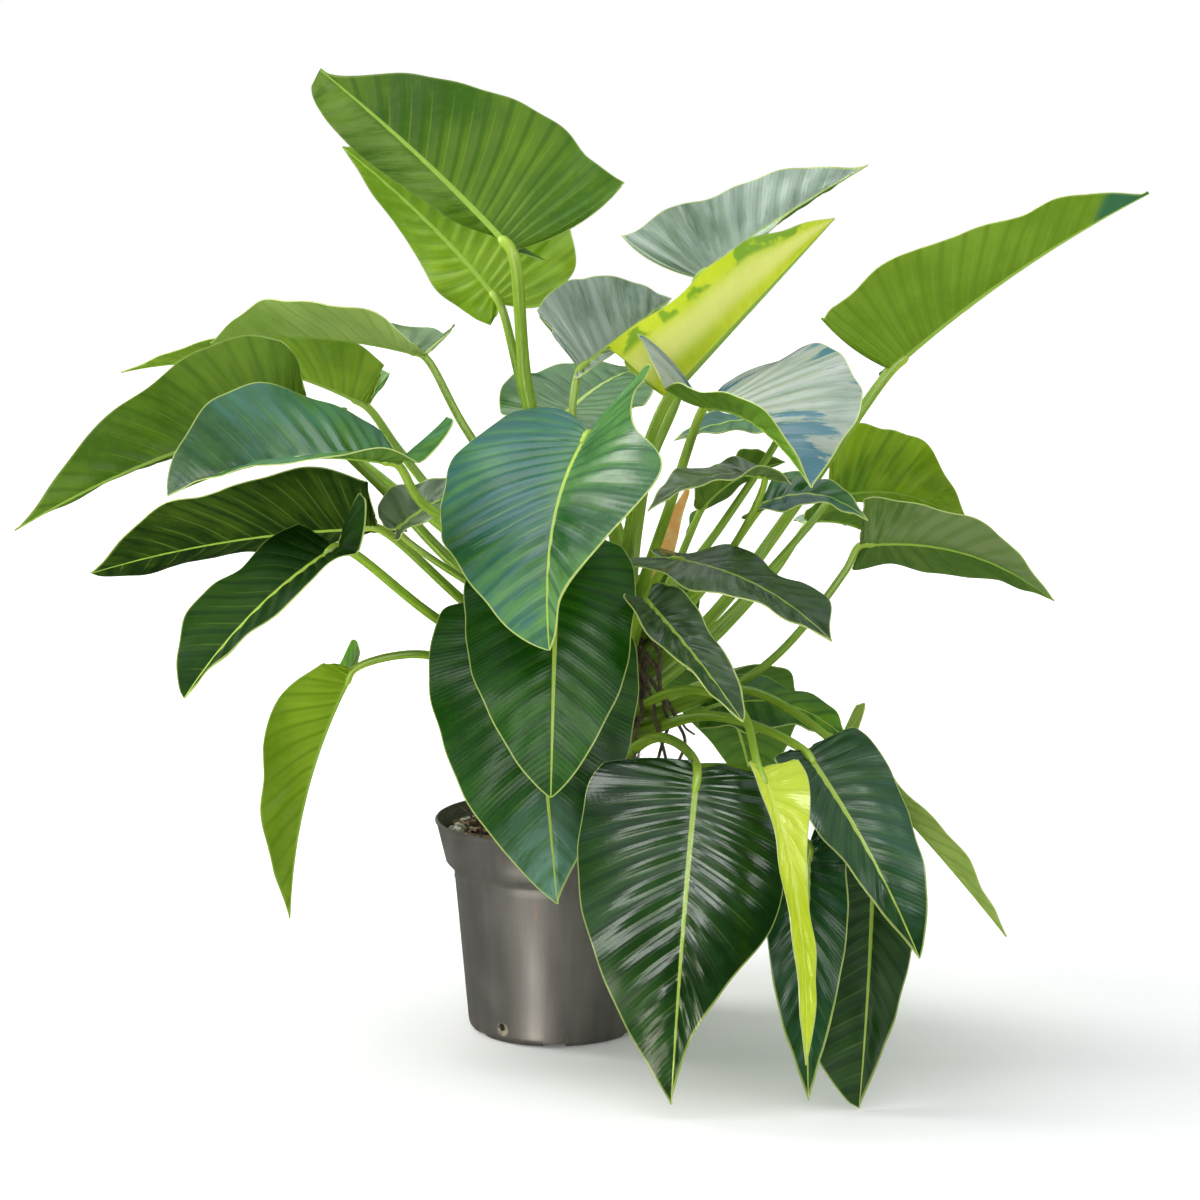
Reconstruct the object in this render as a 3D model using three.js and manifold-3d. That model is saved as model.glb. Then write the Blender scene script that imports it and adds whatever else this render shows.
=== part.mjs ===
// A green beauty philodendron in its nursery pot, in millimetres, +Z up.
// The origin is the centre of the pot's underside, and +X runs along the widest spread of the leaves.
import * as THREE from 'three';
import { mergeVertices } from 'three/addons/utils/BufferGeometryUtils.js';
import Module from 'manifold-3d';

const wasm = await Module();
wasm.setup();

// Driving dimensions of the pot.
const POT_HEIGHT = 215;
const RIM_RADIUS = 120;
const RIM_FOOT_RADIUS = 110;
const RIM_BAND = 43;
const BODY_TOP_RADIUS = 102;
const BASE_RADIUS = 88;
const BASE_CHAMFER = 9;
const WALL = 2.6;
const STEP_HEIGHT = 8;
const POT_SIDES = 32;
const NOTCH_COUNT = 6;
const NOTCH_WIDTH = 22;
const NOTCH_HEIGHT = 5;

const DRAIN_RADIUS = 4;
const DRAIN_HEIGHT = 17;
const DRAIN_BEARINGS = [234, 354, 114];
const DRAIN_SIDES = 10;
const CUT_DEPTH = 30;

// Driving dimensions of the growing mix and the trunk.
const SOIL_LEVEL = 193;
const SOIL_ROUGHNESS = 3;
const SOIL_WAVE = { acrossX: 0.19, acrossY: 0.23, slantX: 0.11, slantY: 0.17, shift: 1.3 };
const SOIL_SLANT_SHARE = 0.6;
const SOIL_RINGS = [50, 94];
const SEAT_GAP = 0.3;
const TRUNK_PATH = [
  [28, 12, 120],
  [34, 12, 190],
  [52, 10, 255],
  [68, 6, 330],
  [72, 5, 400],
  [66, 4, 446],
];
const TRUNK_RADII = [24, 26, 25, 22, 19, 9];
const TRUNK_SIDES = 10;
const TRUNK_STEPS = 22;
const SCAR_SPACING = 24;
const SCAR_RELIEF = 1.6;

// Aerial roots: where each leaves the trunk, the bearing it leaves in, how far out it arches and
// how thick it is. Each runs down from the trunk into the growing mix.
const ROOTS = [
  { height: 300, bearing: 320, reach: 26, radius: 3.2 },
  { height: 262, bearing: 285, reach: 22, radius: 3.6 },
  { height: 275, bearing: 30, reach: 24, radius: 3.2 },
  { height: 250, bearing: 100, reach: 20, radius: 3.4 },
  { height: 288, bearing: 170, reach: 24, radius: 3 },
  { height: 240, bearing: 225, reach: 24, radius: 3.6 },
];
const ROOT_FOOT = 186;
const ROOT_SIDES = 5;
const ROOT_STEPS = 5;

// The dried sheath of an old leaf: a flat tapering strip that grows out of the trunk's top.
const SHEATH_PATH = [
  [68, 6, 440],
  [92, 4, 452],
  [107, -8, 474],
  [114, -22, 498],
  [120, -30, 522],
  [131, -38, 549],
];
const SHEATH_ACROSS = [0.94, -0.34, 0];
const SHEATH_WIDTHS = [10, 13, 15, 15, 12, 5];
const SHEATH_THICKNESS = 1.6;

// Driving dimensions of the leaves.
const BLADE_THICKNESS = 1.3;
const BLADE_ROWS = 8;
const BLADE_COLUMNS = 3;
const PETIOLE_SIDES = 6;
const PETIOLE_STEPS = 6;
const TIP_WIDTH_SHARE = 0.012;
const CORNER_END = 0.35;
const LENGTH_STEPS = 40;

// The outline of one half of a blade: distance out from the midrib as a share of the half width,
// and distance along the midrib as a share of its length, from the rounded basal lobe to the tip.
const OUTLINE_STATIONS = [0, 0.12, 0.25, 0.4, 0.55, 0.7, 0.85, 1];
const OUTLINE_OUT = [0.42, 0.81, 0.98, 1, 0.88, 0.64, 0.33, 0];
const OUTLINE_ALONG = [-0.13, -0.1, 0.05, 0.25, 0.46, 0.66, 0.835, 1];

// What a leaf has unless its row says otherwise. Pairs hold the left and the right half, seen from
// above with the tip ahead. Angles are in degrees and lengths in millimetres.
const LEAF_DEFAULTS = {
  arch: 30,
  skew: 0.5,
  sway: 0,
  twist: 0,
  width: [190, 190],
  fold: [15, 15],
  curl: [0, 0],
  lobe: [0, 0],
  ear: [1, 1],
  blunt: [1, 1],
  wave: [6, 6],
  waves: 1.6,
  phase: [0, 1.5],
  radius: [7, 4],
  via: [],
  rows: BLADE_ROWS,
};

// One row for each leaf: where the petiole meets the blade (base), the tip, the way the upper side
// faces, the height on the trunk where the petiole starts (root) and the points it passes (via).
// A trim widens or narrows the left and the right half at each station of the outline.
const LEAVES = [
  { name: 'leaf_top_1', base: [-40, -30, 780], tip: [-230, 40, 955], face: [0.35, 1, 0.1], arch: 15,
    width: [226, 130], fold: [10, 85], foldTip: [15, -5], ear: [1.25, 0], blunt: [1.5, 0.3],
    corner: [0.2, 2],
    trim: [[1.3, 1.24, 1.06, 1, 1.04, 1.15, 1.45, 1.2], [1, 1, 1.12, 1.15, 1.05, 0.95, 0.88, 0.9]],
    root: 421, via: [[12, -3, 512], [-26, 0, 640]], radius: [8, 5.5] },
  { name: 'leaf_top_2', base: [-55, 60, 725], tip: [-218, 150, 880], face: [0.3, 1, 0.3], arch: 15,
    width: [215, 100], fold: [20, 10], ear: [1.25, 0],
    trim: [[1, 1, 1, 1, 1, 1, 1, 1], [0.1, 0.35, 0.72, 0.95, 1, 1, 1, 1]], root: 409,
    via: [[20, 48, 495], [-25, 58, 610]], radius: [6, 4] },
  { name: 'leaf_left_1', base: [-130, 30, 675], tip: [-345, 60, 685], face: [0, 0, 1], arch: 12,
    width: [180, 180], fold: [12, 8], foldTip: [58, 25], lobe: [0, 60], ear: [0.3, 1.2],
    trim: [[1, 1, 1, 1, 1, 1, 1, 1], [0.55, 0.8, 1, 1, 1, 1, 1, 1]], root: 394,
    via: [[0, 14, 476], [-90, 26, 605]], radius: [6, 3.5] },
  { name: 'leaf_left_2', base: [-195, 140, 615], tip: [-450, 150, 650], face: [0, 0.1, 1], arch: 25,
    width: [160, 110], fold: [40, 45], foldTip: [10, 5], ear: [0, 0], root: 384,
    via: [[-70, 88, 470], [-160, 122, 570]], radius: [6, 4] },
  { name: 'leaf_left_3', base: [-245, -50, 620], tip: [-519, -80, 514], face: [-0.1, 0.7, 0.7],
    arch: 18, width: [170, 190], fold: [35, 40], ear: [0.3, 1], blunt: [1.3, 1], root: 372,
    via: [[-80, -5, 455], [-180, -20, 560]] },
  { name: 'leaf_left_4', base: [-145, -150, 585], tip: [-355, -190, 560], face: [0, -0.25, 1],
    arch: 20, width: [190, 215], fold: [27, 0], foldTip: [20, 68], curl: [-10, -10], lobe: [60, 0],
    ear: [2.1, 0.1], blunt: [1, 0.7], corner: [1.6, 0.7], root: 389,
    via: [[-40, -85, 490], [-124, -134, 548]], radius: [6, 4] },
  { name: 'leaf_left_5', base: [-170, -70, 515], tip: [-450, -60, 470], face: [0, 0.2, 1], arch: 10,
    width: [205, 190], fold: [25, 0], foldTip: [25, -10], ear: [0, 0.6], blunt: [1, 0.45],
    corner: [1.5, 1], trim: [[1, 1, 1, 1.05, 1.15, 1.3, 1.3, 1], [1, 1, 1, 1, 1, 1, 1, 1]],
    root: 345, via: [[-60, -32, 415]], radius: [6, 4] },
  { name: 'leaf_left_6', base: [-200, -170, 510], tip: [-335, -250, 380], face: [-0.3, -0.6, 0.8],
    arch: 15, width: [70, 135], fold: [15, -5], foldTip: [15, 10], lobe: [60, 0], ear: [2.1, 0],
    blunt: [1, 0.6], corner: [1, 3],
    trim: [[1, 1, 1, 1, 0.9, 0.8, 0.8, 1], [1, 1, 1, 1, 1, 1.1, 1.2, 1]], phase: [0, 1.5],
    root: 327, via: [[-100, -82, 420]], radius: [6, 4] },
  { name: 'leaf_left_7', base: [-148, -100, 517], tip: [-64, -72, 552], face: [-0.5, -0.7, 0.8],
    arch: 12, width: [70, 52], fold: [20, 20], ear: [0.6, 0.6], root: 374, via: [[-50, -85, 445]],
    radius: [5, 3], rows: 6 },
  { name: 'leaf_left_8', base: [-195, -60, 375], tip: [-260, -80, 130], face: [-0.5, 0.5, 0.4],
    arch: 20, width: [145, 130], fold: [10, 50], ear: [0, 0.4], blunt: [1.1, 1], corner: [3, 1],
    trim: [[0.5, 0.5, 0.7, 0.95, 1, 1, 1, 1], [1, 1, 1, 1, 1, 1, 1, 1]], root: 308,
    via: [[-50, -22, 352], [-130, -50, 388]], radius: [6, 3.5], rows: 6 },
  { name: 'leaf_front_1', base: [35, -110, 610], tip: [0, -310, 435], face: [-0.15, -0.65, 0.76],
    arch: 20, sway: 12, width: [185, 270], fold: [48, -5], foldTip: [15, -5], curl: [0, -20],
    ear: [2.2, 1.9], blunt: [0.8, 0.75], corner: [0.6, 0.25],
    trim: [[0.85, 0.8, 0.82, 1.02, 1.5, 0.95, 0.35, 0.6],
      [0.85, 0.95, 1.02, 1, 0.95, 0.88, 0.85, 1]], root: 393, via: [[60, -75, 500]] },
  { name: 'leaf_front_2', base: [5, -150, 495], tip: [0, -260, 290], face: [0, -0.9, 0.4], arch: 20,
    width: [150, 175], fold: [0, 0], curl: [-20, -20], blunt: [0.75, 0.75], root: 336, via: [] },
  { name: 'leaf_front_3', base: [-20, -130, 430], tip: [5, -200, 175], face: [0, -0.9, 0.4],
    arch: 20, width: [195, 205], fold: [0, 0], curl: [-20, -20], blunt: [1.2, 0.85], root: 278,
    via: [] },
  { name: 'leaf_low_1', base: [135, -230, 310], tip: [110, -310, 15], face: [-0.1, -0.9, 0.3],
    arch: 20, width: [170, 212], fold: [5, 5], curl: [-40, -20], lobe: [-60, -30], ear: [0.5, 0.3],
    blunt: [1.4, 1], corner: [1.4, 3.2],
    trim: [[1, 1, 1, 1.08, 1.12, 0.95, 0.85, 1], [0.6, 0.78, 0.95, 1, 1, 1, 1, 1]], root: 262,
    via: [[100, -85, 312]], radius: [6, 4] },
  { name: 'leaf_low_2', base: [189, -284, 322], tip: [230, -345, 63], face: [0.5, -0.8, 0.2],
    arch: 26, skew: 0.4, width: [90, 90], fold: [10, 20], ear: [0, 0.2], blunt: [1, 1],
    trim: [[0.8, 0.9, 0.92, 0.62, 0.34, 0.44, 0.6, 1], [0.3, 0.3, 0.26, 0.24, 0.42, 0.45, 0.6, 1]],
    root: 313, via: [[120, -68, 355], [175, -185, 360]], radius: [5, 3.5], rows: 6 },
  { name: 'leaf_low_3', base: [236, -205, 322], tip: [337, -285, 145], face: [0.1, -0.8, 0.5],
    arch: 20, width: [118, 70], fold: [15, 15], curl: [-30, -10], ear: [0, 0.2], blunt: [0.8, 1],
    corner: [1.8, 1], root: 288, via: [[150, -78, 332]], radius: [6, 4] },
  { name: 'leaf_low_4', base: [275, -120, 310], tip: [435, -150, 130], face: [0.7, 0.3, 0.6],
    arch: 4, width: [110, 100], fold: [20, 20], lobe: [0, 60], ear: [0.3, 1.1],
    trim: [[0.8, 0.8, 0.8, 0.75, 0.9, 1, 1, 1], [1, 0.9, 0.7, 0.65, 0.75, 0.85, 1, 1]], root: 303,
    via: [[185, -48, 352]], radius: [6, 3.5], rows: 6 },
  { name: 'leaf_low_5', base: [160, -20, 330], tip: [290, -50, 300], face: [0, 0.3, 1], arch: 20,
    width: [190, 130], fold: [20, -30], root: 272, via: [], radius: [5, 3.5], rows: 6 },
  { name: 'leaf_low_6', base: [240, -216, 235], tip: [237, -284, 10], face: [-0.2, -0.9, 0.3],
    arch: 10, width: [80, 80], fold: [15, 15], root: 232, via: [[120, -105, 262]], radius: [5, 3.5],
    rows: 6 },
  { name: 'leaf_low_7', base: [307, -140, 209], tip: [284, -280, 2], face: [0.1, -0.9, 0.3],
    arch: 10, width: [85, 110], fold: [15, 15], blunt: [1, 0.5],
    trim: [[1, 1, 1, 1, 1, 1, 1, 1], [1, 1, 1, 1, 1, 1.25, 1.5, 1.2]], root: 250,
    via: [[190, -70, 275]], radius: [5, 3.5], rows: 6 },
  { name: 'leaf_right_1', base: [88, -175, 459], tip: [174, -285, 365], face: [0.2, -0.6, 0.7],
    arch: 5, width: [60, 60], fold: [20, 20], ear: [0.5, 0.2], blunt: [0.6, 0.8], root: 322,
    via: [], radius: [5, 3.5], rows: 6 },
  { name: 'leaf_right_2', base: [115, -110, 490], tip: [260, -200, 425], face: [0.1, 0, 1],
    arch: 15, width: [130, 110], fold: [5, -10], ear: [1.6, 1.8],
    trim: [[1, 1, 1.1, 1.1, 1.15, 1.5, 2, 1.5], [1, 1, 1, 1, 1, 1, 1, 1]], root: 366, via: [],
    radius: [6, 3.5] },
  { name: 'leaf_right_3', base: [305, 30, 485], tip: [495, -10, 435], face: [0, 0.8, 1], arch: 25,
    width: [140, 160], fold: [10, 0], ear: [0, 0], corner: [1.6, 1], root: 300,
    via: [[205, 4, 364], [290, 22, 460]], radius: [5, 3.5] },
  { name: 'leaf_right_4', base: [268, 215, 487], tip: [346, 230, 464], face: [0, 0.3, 1], arch: 8,
    width: [64, 64], fold: [20, 20], root: 318, via: [[160, 120, 372], [232, 190, 439]],
    radius: [5, 3], rows: 6 },
  { name: 'leaf_right_5', base: [335, 40, 660], tip: [580, 0, 835], face: [-0.4, 0.8, 0.5],
    arch: 14, width: [60, 205], fold: [60, 5], ear: [0.3, 0.5], blunt: [1, 1.4], corner: [1, 0.1],
    trim: [[1, 1, 1, 1, 1, 1, 1, 1], [1.1, 1.1, 1.03, 1.06, 0.93, 0.98, 1.75, 3]], root: 345,
    via: [[150, 6, 410], [249, 20, 540]], radius: [7, 5] },
  { name: 'leaf_right_6', base: [145, -66, 631], tip: [235, -266, 576], face: [0.2, -0.5, 0.8],
    arch: 20, width: [250, 92], fold: [26, 20], foldTip: [5, 90], lobe: [0, 50], ear: [1.3, 2.9],
    blunt: [1, 1.3], corner: [1, 0.1],
    trim: [[1, 1, 1, 1, 1.05, 1.05, 1, 1], [1, 1, 1, 1, 1, 1, 1, 1]], root: 404,
    via: [[110, -45, 525]], radius: [6, 4] },
  { name: 'leaf_right_7', base: [287, 145, 521], tip: [427, 125, 491], face: [0, 0.8, 0.8],
    arch: 25, width: [70, 214], fold: [10, 0], ear: [0.5, 0.5], root: 330,
    via: [[160, 60, 395], [262, 125, 495]], radius: [5, 3.5] },
  { name: 'leaf_right_8', base: [205, -30, 532], tip: [305, -60, 521], face: [0, -0.4, 1], arch: 20,
    width: [72, 72], fold: [10, 10], root: 366, via: [[140, -24, 440]], radius: [5, 3], rows: 6 },
  { name: 'leaf_back_1', base: [143, 60, 750], tip: [314, 95, 862], face: [-0.1, -0.85, 0.5],
    arch: 8, width: [130, 40], fold: [0, 60], ear: [1.25, 0], blunt: [1.3, 1], corner: [0, 1],
    trim: [[1.5, 1.5, 1.3, 0.98, 1.05, 1.2, 1.3, 1], [1, 1, 1, 1, 1, 1, 1, 1]], root: 408,
    via: [[82, 30, 500], [94, 26, 566], [124, 40, 640]], radius: [6, 4.5] },
  { name: 'leaf_back_2', base: [25, -20, 665], tip: [118, 125, 727], face: [0.4, -0.75, 0.4],
    arch: 15, width: [150, 20], fold: [5, 30], ear: [0, 0.5], blunt: [1.2, 1], corner: [0.8, 1],
    root: 404, via: [[40, -36, 490], [18, -34, 600]], radius: [5, 3.5], rows: 6 },
  { name: 'leaf_back_3', base: [5, 110, 605], tip: [90, 270, 645], face: [0, -0.3, 1], arch: 10,
    width: [150, 150], fold: [10, 10], root: 392, via: [[64, 84, 495]], radius: [6, 4], rows: 6 },
  { name: 'leaf_back_4', base: [235, 130, 600], tip: [120, 60, 588], face: [0, -0.3, 1], arch: 10,
    width: [100, 70], fold: [10, 0], root: 390, via: [[170, 88, 500]], radius: [5, 3.5], rows: 6 },
  { name: 'leaf_back_5', base: [150, 120, 512], tip: [238, 170, 555], face: [0, 0.8, 1], arch: 10,
    width: [100, 100], fold: [10, 10], root: 364, via: [[115, 75, 440]], radius: [5, 3.5],
    rows: 6 },
  { name: 'leaf_back_6', base: [203, -85, 566], tip: [90, -150, 541], face: [0, -0.05, 1], arch: 15,
    width: [70, 80], fold: [10, 10], root: 386, via: [[165, -52, 480]], radius: [5, 3], rows: 6 },
  { name: 'leaf_rolled', base: [111, -23, 636], tip: [276, 30, 810], face: [-0.5, 0.3, 0.7],
    arch: 0, width: [130, 172], fold: [60, 60], curl: [60, 60], ear: [0, 0], blunt: [1, 0.9],
    corner: [1, 0.5], trim: [[1, 1, 1, 1, 1, 1, 1, 1], [1, 1, 0.92, 0.82, 0.8, 0.85, 0.9, 1]],
    root: 440, via: [[76, -9, 515], [87, -16, 575]], radius: [6, 5] },
  { name: 'leaf_back_7', base: [-30, 130, 512], tip: [-60, 350, 410], face: [0, 0.4, 1], arch: 30,
    width: [170, 170], fold: [12, 12], root: 334, via: [[38, 70, 395]], rows: 5 },
  { name: 'leaf_back_8', base: [55, 130, 420], tip: [60, 300, 190], face: [0, 0.9, 0.4], arch: 25,
    width: [190, 190], fold: [12, 12], root: 298, via: [[62, 78, 365]], rows: 6 },
  { name: 'leaf_back_9', base: [160, 130, 330], tip: [215, 300, 170], face: [0.3, 0.8, 0.5],
    arch: 20, width: [160, 160], fold: [12, 12], root: 280, via: [], rows: 5 },
  { name: 'leaf_back_10', base: [-218, 200, 560], tip: [-378, 340, 561], face: [0, 0.1, 1],
    arch: 12, width: [130, 130], fold: [8, 8], root: 358, via: [[-50, 95, 440]], rows: 5 },
];

function smooth(value) {
  const t = Math.min(Math.max(value, 0), 1);
  return t * t * (3 - 2 * t);
}

// A smooth value through stations, with each slope taken from the neighbours.
function through(stations, values, position) {
  const last = stations.length - 1;
  const x = Math.min(Math.max(position, stations[0]), stations[last]);
  let i = 0;
  while (i < last - 1 && x >= stations[i + 1]) {
    i += 1;
  }
  const slope = (k) => {
    if (k === 0 || k === last) {
      const j = k === 0 ? 0 : last - 1;
      return (values[j + 1] - values[j]) / (stations[j + 1] - stations[j]);
    }
    const before = stations[k] - stations[k - 1];
    const after = stations[k + 1] - stations[k];
    const left = (values[k] - values[k - 1]) / before;
    const right = (values[k + 1] - values[k]) / after;
    return (before * right + after * left) / (before + after);
  };
  const step = stations[i + 1] - stations[i];
  const u = (x - stations[i]) / step;
  const u2 = u * u;
  const u3 = u2 * u;
  return (2 * u3 - 3 * u2 + 1) * values[i] + (u3 - 2 * u2 + u) * step * slope(i)
    + (3 * u2 - 2 * u3) * values[i + 1] + (u3 - u2) * step * slope(i + 1);
}

function splinePoints(points, count) {
  const stations = [0];
  for (let i = 1; i < points.length; i += 1) {
    stations.push(stations[i - 1] + Math.sqrt(points[i].distanceTo(points[i - 1])));
  }
  const end = stations[stations.length - 1];
  return Array.from({ length: count }, (_, i) => {
    const at = (end * i) / (count - 1);
    return new THREE.Vector3(
      through(stations, points.map((p) => p.x), at),
      through(stations, points.map((p) => p.y), at),
      through(stations, points.map((p) => p.z), at),
    );
  });
}

const vector = (list) => new THREE.Vector3(...list);

// A closed mesh from points and triangles, as a solid for joining and cutting.
function solidOf(geometry) {
  const bare = geometry.clone();
  bare.deleteAttribute('normal');
  bare.deleteAttribute('uv');
  const merged = mergeVertices(bare, 1e-4);
  const mesh = new wasm.Mesh({
    numProp: 3,
    vertProperties: new Float32Array(merged.attributes.position.array),
    triVerts: new Uint32Array(merged.index.array),
  });
  mesh.merge();
  return new wasm.Manifold(mesh);
}

function geometryOf(solid) {
  const mesh = solid.getMesh();
  const geometry = new THREE.BufferGeometry();
  geometry.setAttribute('position', new THREE.BufferAttribute(new Float32Array(mesh.vertProperties), 3));
  geometry.setIndex(new THREE.BufferAttribute(new Uint32Array(mesh.triVerts), 1));
  geometry.computeVertexNormals();
  return geometry;
}

// A round bar along a path, with its own radius at each point and flat ends.
function barGeometry(path, radii, sides) {
  const positions = [];
  const index = [];
  const across = new THREE.Vector3();
  const up = new THREE.Vector3();
  let previous = null;
  path.forEach((point, i) => {
    const ahead = path[Math.min(i + 1, path.length - 1)].clone();
    const along = ahead.sub(path[Math.max(i - 1, 0)]).normalize();
    if (previous === null) {
      const helper = Math.abs(along.z) > 0.9 ? new THREE.Vector3(1, 0, 0) : new THREE.Vector3(0, 0, 1);
      across.crossVectors(along, helper).normalize();
    } else {
      across.addScaledVector(along, -across.dot(along)).normalize();
    }
    previous = along;
    up.crossVectors(across, along);
    for (let k = 0; k < sides; k += 1) {
      const angle = (2 * Math.PI * k) / sides;
      const spot = point.clone();
      spot.addScaledVector(across, radii[i] * Math.cos(angle));
      spot.addScaledVector(up, radii[i] * Math.sin(angle));
      positions.push(spot.x, spot.y, spot.z);
    }
  });
  const rings = path.length;
  for (let i = 0; i < rings - 1; i += 1) {
    for (let k = 0; k < sides; k += 1) {
      const a = i * sides + k;
      const b = i * sides + ((k + 1) % sides);
      index.push(a, b, b + sides, a, b + sides, a + sides);
    }
  }
  for (let k = 1; k < sides - 1; k += 1) {
    index.push(0, k + 1, k);
    const top = (rings - 1) * sides;
    index.push(top, top + k, top + k + 1);
  }
  const geometry = new THREE.BufferGeometry();
  geometry.setAttribute('position', new THREE.Float32BufferAttribute(positions, 3));
  geometry.setIndex(index);
  return geometry;
}

function barSolid(path, radii, sides) {
  const solid = solidOf(barGeometry(path, radii, sides));
  return solid.volume() < 0 ? solidOf(flipped(barGeometry(path, radii, sides))) : solid;
}

function flipped(geometry) {
  const index = geometry.index.array;
  for (let i = 0; i < index.length; i += 3) {
    [index[i + 1], index[i + 2]] = [index[i + 2], index[i + 1]];
  }
  return geometry;
}

// The midrib: a curve from base to tip that arches towards the upper side, and the directions
// along it, out of the upper side and towards the right half.
function midribAt(leaf, t) {
  const base = vector(leaf.base);
  const tip = vector(leaf.tip);
  const chord = tip.clone().sub(base);
  const out = vector(leaf.face);
  out.addScaledVector(chord, -out.dot(chord) / chord.lengthSq()).normalize();
  const side = new THREE.Vector3().crossVectors(chord, out).normalize();
  const knee = base.clone().addScaledVector(chord, leaf.skew);
  knee.addScaledVector(out, 2 * leaf.arch).addScaledVector(side, 2 * leaf.sway);
  const point = base.clone().multiplyScalar((1 - t) ** 2);
  point.addScaledVector(knee, 2 * t * (1 - t)).addScaledVector(tip, t * t);
  const along = knee.clone().sub(base).multiplyScalar(1 - t);
  along.addScaledVector(tip.clone().sub(knee), t).normalize();
  const above = out.clone().addScaledVector(along, -along.dot(out)).normalize();
  const right = new THREE.Vector3().crossVectors(along, above);
  const turn = THREE.MathUtils.degToRad(leaf.twist) * t;
  return {
    point,
    along,
    above: above.clone().multiplyScalar(Math.cos(turn)).addScaledVector(right, Math.sin(turn)),
    right: right.clone().multiplyScalar(Math.cos(turn)).addScaledVector(above, -Math.sin(turn)),
  };
}

function midribLength(leaf) {
  let length = 0;
  let before = midribAt(leaf, 0).point;
  for (let i = 1; i <= LENGTH_STEPS; i += 1) {
    const point = midribAt(leaf, i / LENGTH_STEPS).point;
    length += point.distanceTo(before);
    before = point;
  }
  return length;
}

// A point of the blade's middle surface: a runs along the lateral veins' order from the basal lobe
// to the tip, and b from the left margin (-1) over the midrib (0) to the right margin (1).
function bladePoint(leaf, length, a, b) {
  const k = b < 0 ? 0 : 1;
  const sign = b < 0 ? -1 : 1;
  const half = leaf.width[k] / 2;
  const corner = leaf.corner ?? leaf.blunt;
  const power = corner[k] + (leaf.blunt[k] - corner[k]) * smooth(a / CORNER_END);
  const share = Math.max(through(OUTLINE_STATIONS, OUTLINE_OUT, a), 0) ** power;
  const trim = leaf.trim ? through(OUTLINE_STATIONS, leaf.trim[k], a) : 1;
  const edgeOut = Math.max(share, TIP_WIDTH_SHARE) * half * trim;
  const station = through(OUTLINE_STATIONS, OUTLINE_ALONG, a);
  const edgeAlong = (station < 0 ? station * leaf.ear[k] : station) * length;
  const start = (0.2 * a + 0.8 * a * a) * length;
  const rise = 1 - 0.75 * smooth(a / 0.25);
  const q = Math.abs(b);
  const out = q * (1 - q) * edgeOut + q * q * edgeOut;
  const middle = start + rise * (edgeAlong - start);
  const y = (1 - q) ** 2 * start + 2 * q * (1 - q) * middle + q * q * edgeAlong;
  const t = Math.min(Math.max(y / length, 0), 1);
  const { point, along, above, right } = midribAt(leaf, t);
  const back = Math.min(y, 0);
  const lobe = THREE.MathUtils.degToRad(leaf.lobe[k]);
  point.addScaledVector(along, back * Math.cos(lobe)).addScaledVector(above, -back * Math.sin(lobe));
  const tipFold = leaf.foldTip ?? leaf.fold;
  const fold = THREE.MathUtils.degToRad(leaf.fold[k] + (tipFold[k] - leaf.fold[k]) * t);
  const bend = THREE.MathUtils.degToRad(leaf.curl[k] || 1e-4) / half;
  const reach = (Math.sin(fold + bend * out) - Math.sin(fold)) / bend;
  const swell = Math.sin(2 * Math.PI * leaf.waves * (y / length) + leaf.phase[k]);
  const ripple = leaf.wave[k] * (out / half) ** 2 * swell * smooth((1 - a) / 0.15);
  const lift = (Math.cos(fold) - Math.cos(fold + bend * out)) / bend + ripple;
  return point.addScaledVector(right, sign * reach).addScaledVector(above, lift);
}

// The blade as a thin closed sheet: the same grid and the same diagonals on both faces.
function bladeSolid(leaf) {
  const length = midribLength(leaf);
  const rows = leaf.rows;
  const columns = 2 * BLADE_COLUMNS;
  const grid = [];
  for (let i = 0; i <= rows; i += 1) {
    for (let j = 0; j <= columns; j += 1) {
      grid.push(bladePoint(leaf, length, i / rows, j / BLADE_COLUMNS - 1));
    }
  }
  const at = (i, j) => i * (columns + 1) + j;
  const cells = [];
  for (let i = 0; i < rows; i += 1) {
    for (let j = 0; j < columns; j += 1) {
      const corners = [at(i, j), at(i, j + 1), at(i + 1, j + 1), at(i + 1, j)];
      const [p, q, r, s] = corners;
      cells.push(j < BLADE_COLUMNS ? [p, q, r] : [p, q, s]);
      cells.push(j < BLADE_COLUMNS ? [p, r, s] : [q, r, s]);
    }
  }
  const normals = grid.map(() => new THREE.Vector3());
  for (const [p, q, r] of cells) {
    const face = new THREE.Vector3().subVectors(grid[q], grid[p]);
    face.cross(new THREE.Vector3().subVectors(grid[r], grid[p]));
    [p, q, r].forEach((corner) => normals[corner].add(face));
  }
  normals.forEach((normal) => normal.normalize());
  const count = grid.length;
  const positions = [];
  for (const sign of [1, -1]) {
    grid.forEach((point, i) => {
      const spot = point.clone().addScaledVector(normals[i], (sign * BLADE_THICKNESS) / 2);
      positions.push(spot.x, spot.y, spot.z);
    });
  }
  const index = [];
  for (const [p, q, r] of cells) {
    index.push(p, q, r, p + count, r + count, q + count);
  }
  const rim = [];
  for (let j = 0; j < columns; j += 1) {
    rim.push([at(0, j), at(0, j + 1)], [at(rows, j + 1), at(rows, j)]);
  }
  for (let i = 0; i < rows; i += 1) {
    rim.push([at(i, columns), at(i + 1, columns)], [at(i + 1, 0), at(i, 0)]);
  }
  for (const [p, q] of rim) {
    index.push(q, p, p + count, q, p + count, q + count);
  }
  const geometry = new THREE.BufferGeometry();
  geometry.setAttribute('position', new THREE.Float32BufferAttribute(positions, 3));
  geometry.setIndex(index);
  return solidOf(geometry);
}

function trunkAxis(height) {
  const points = TRUNK_PATH.map(vector);
  const heights = points.map((p) => p.z);
  return new THREE.Vector3(
    through(heights, points.map((p) => p.x), height),
    through(heights, points.map((p) => p.y), height),
    height,
  );
}

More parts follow.
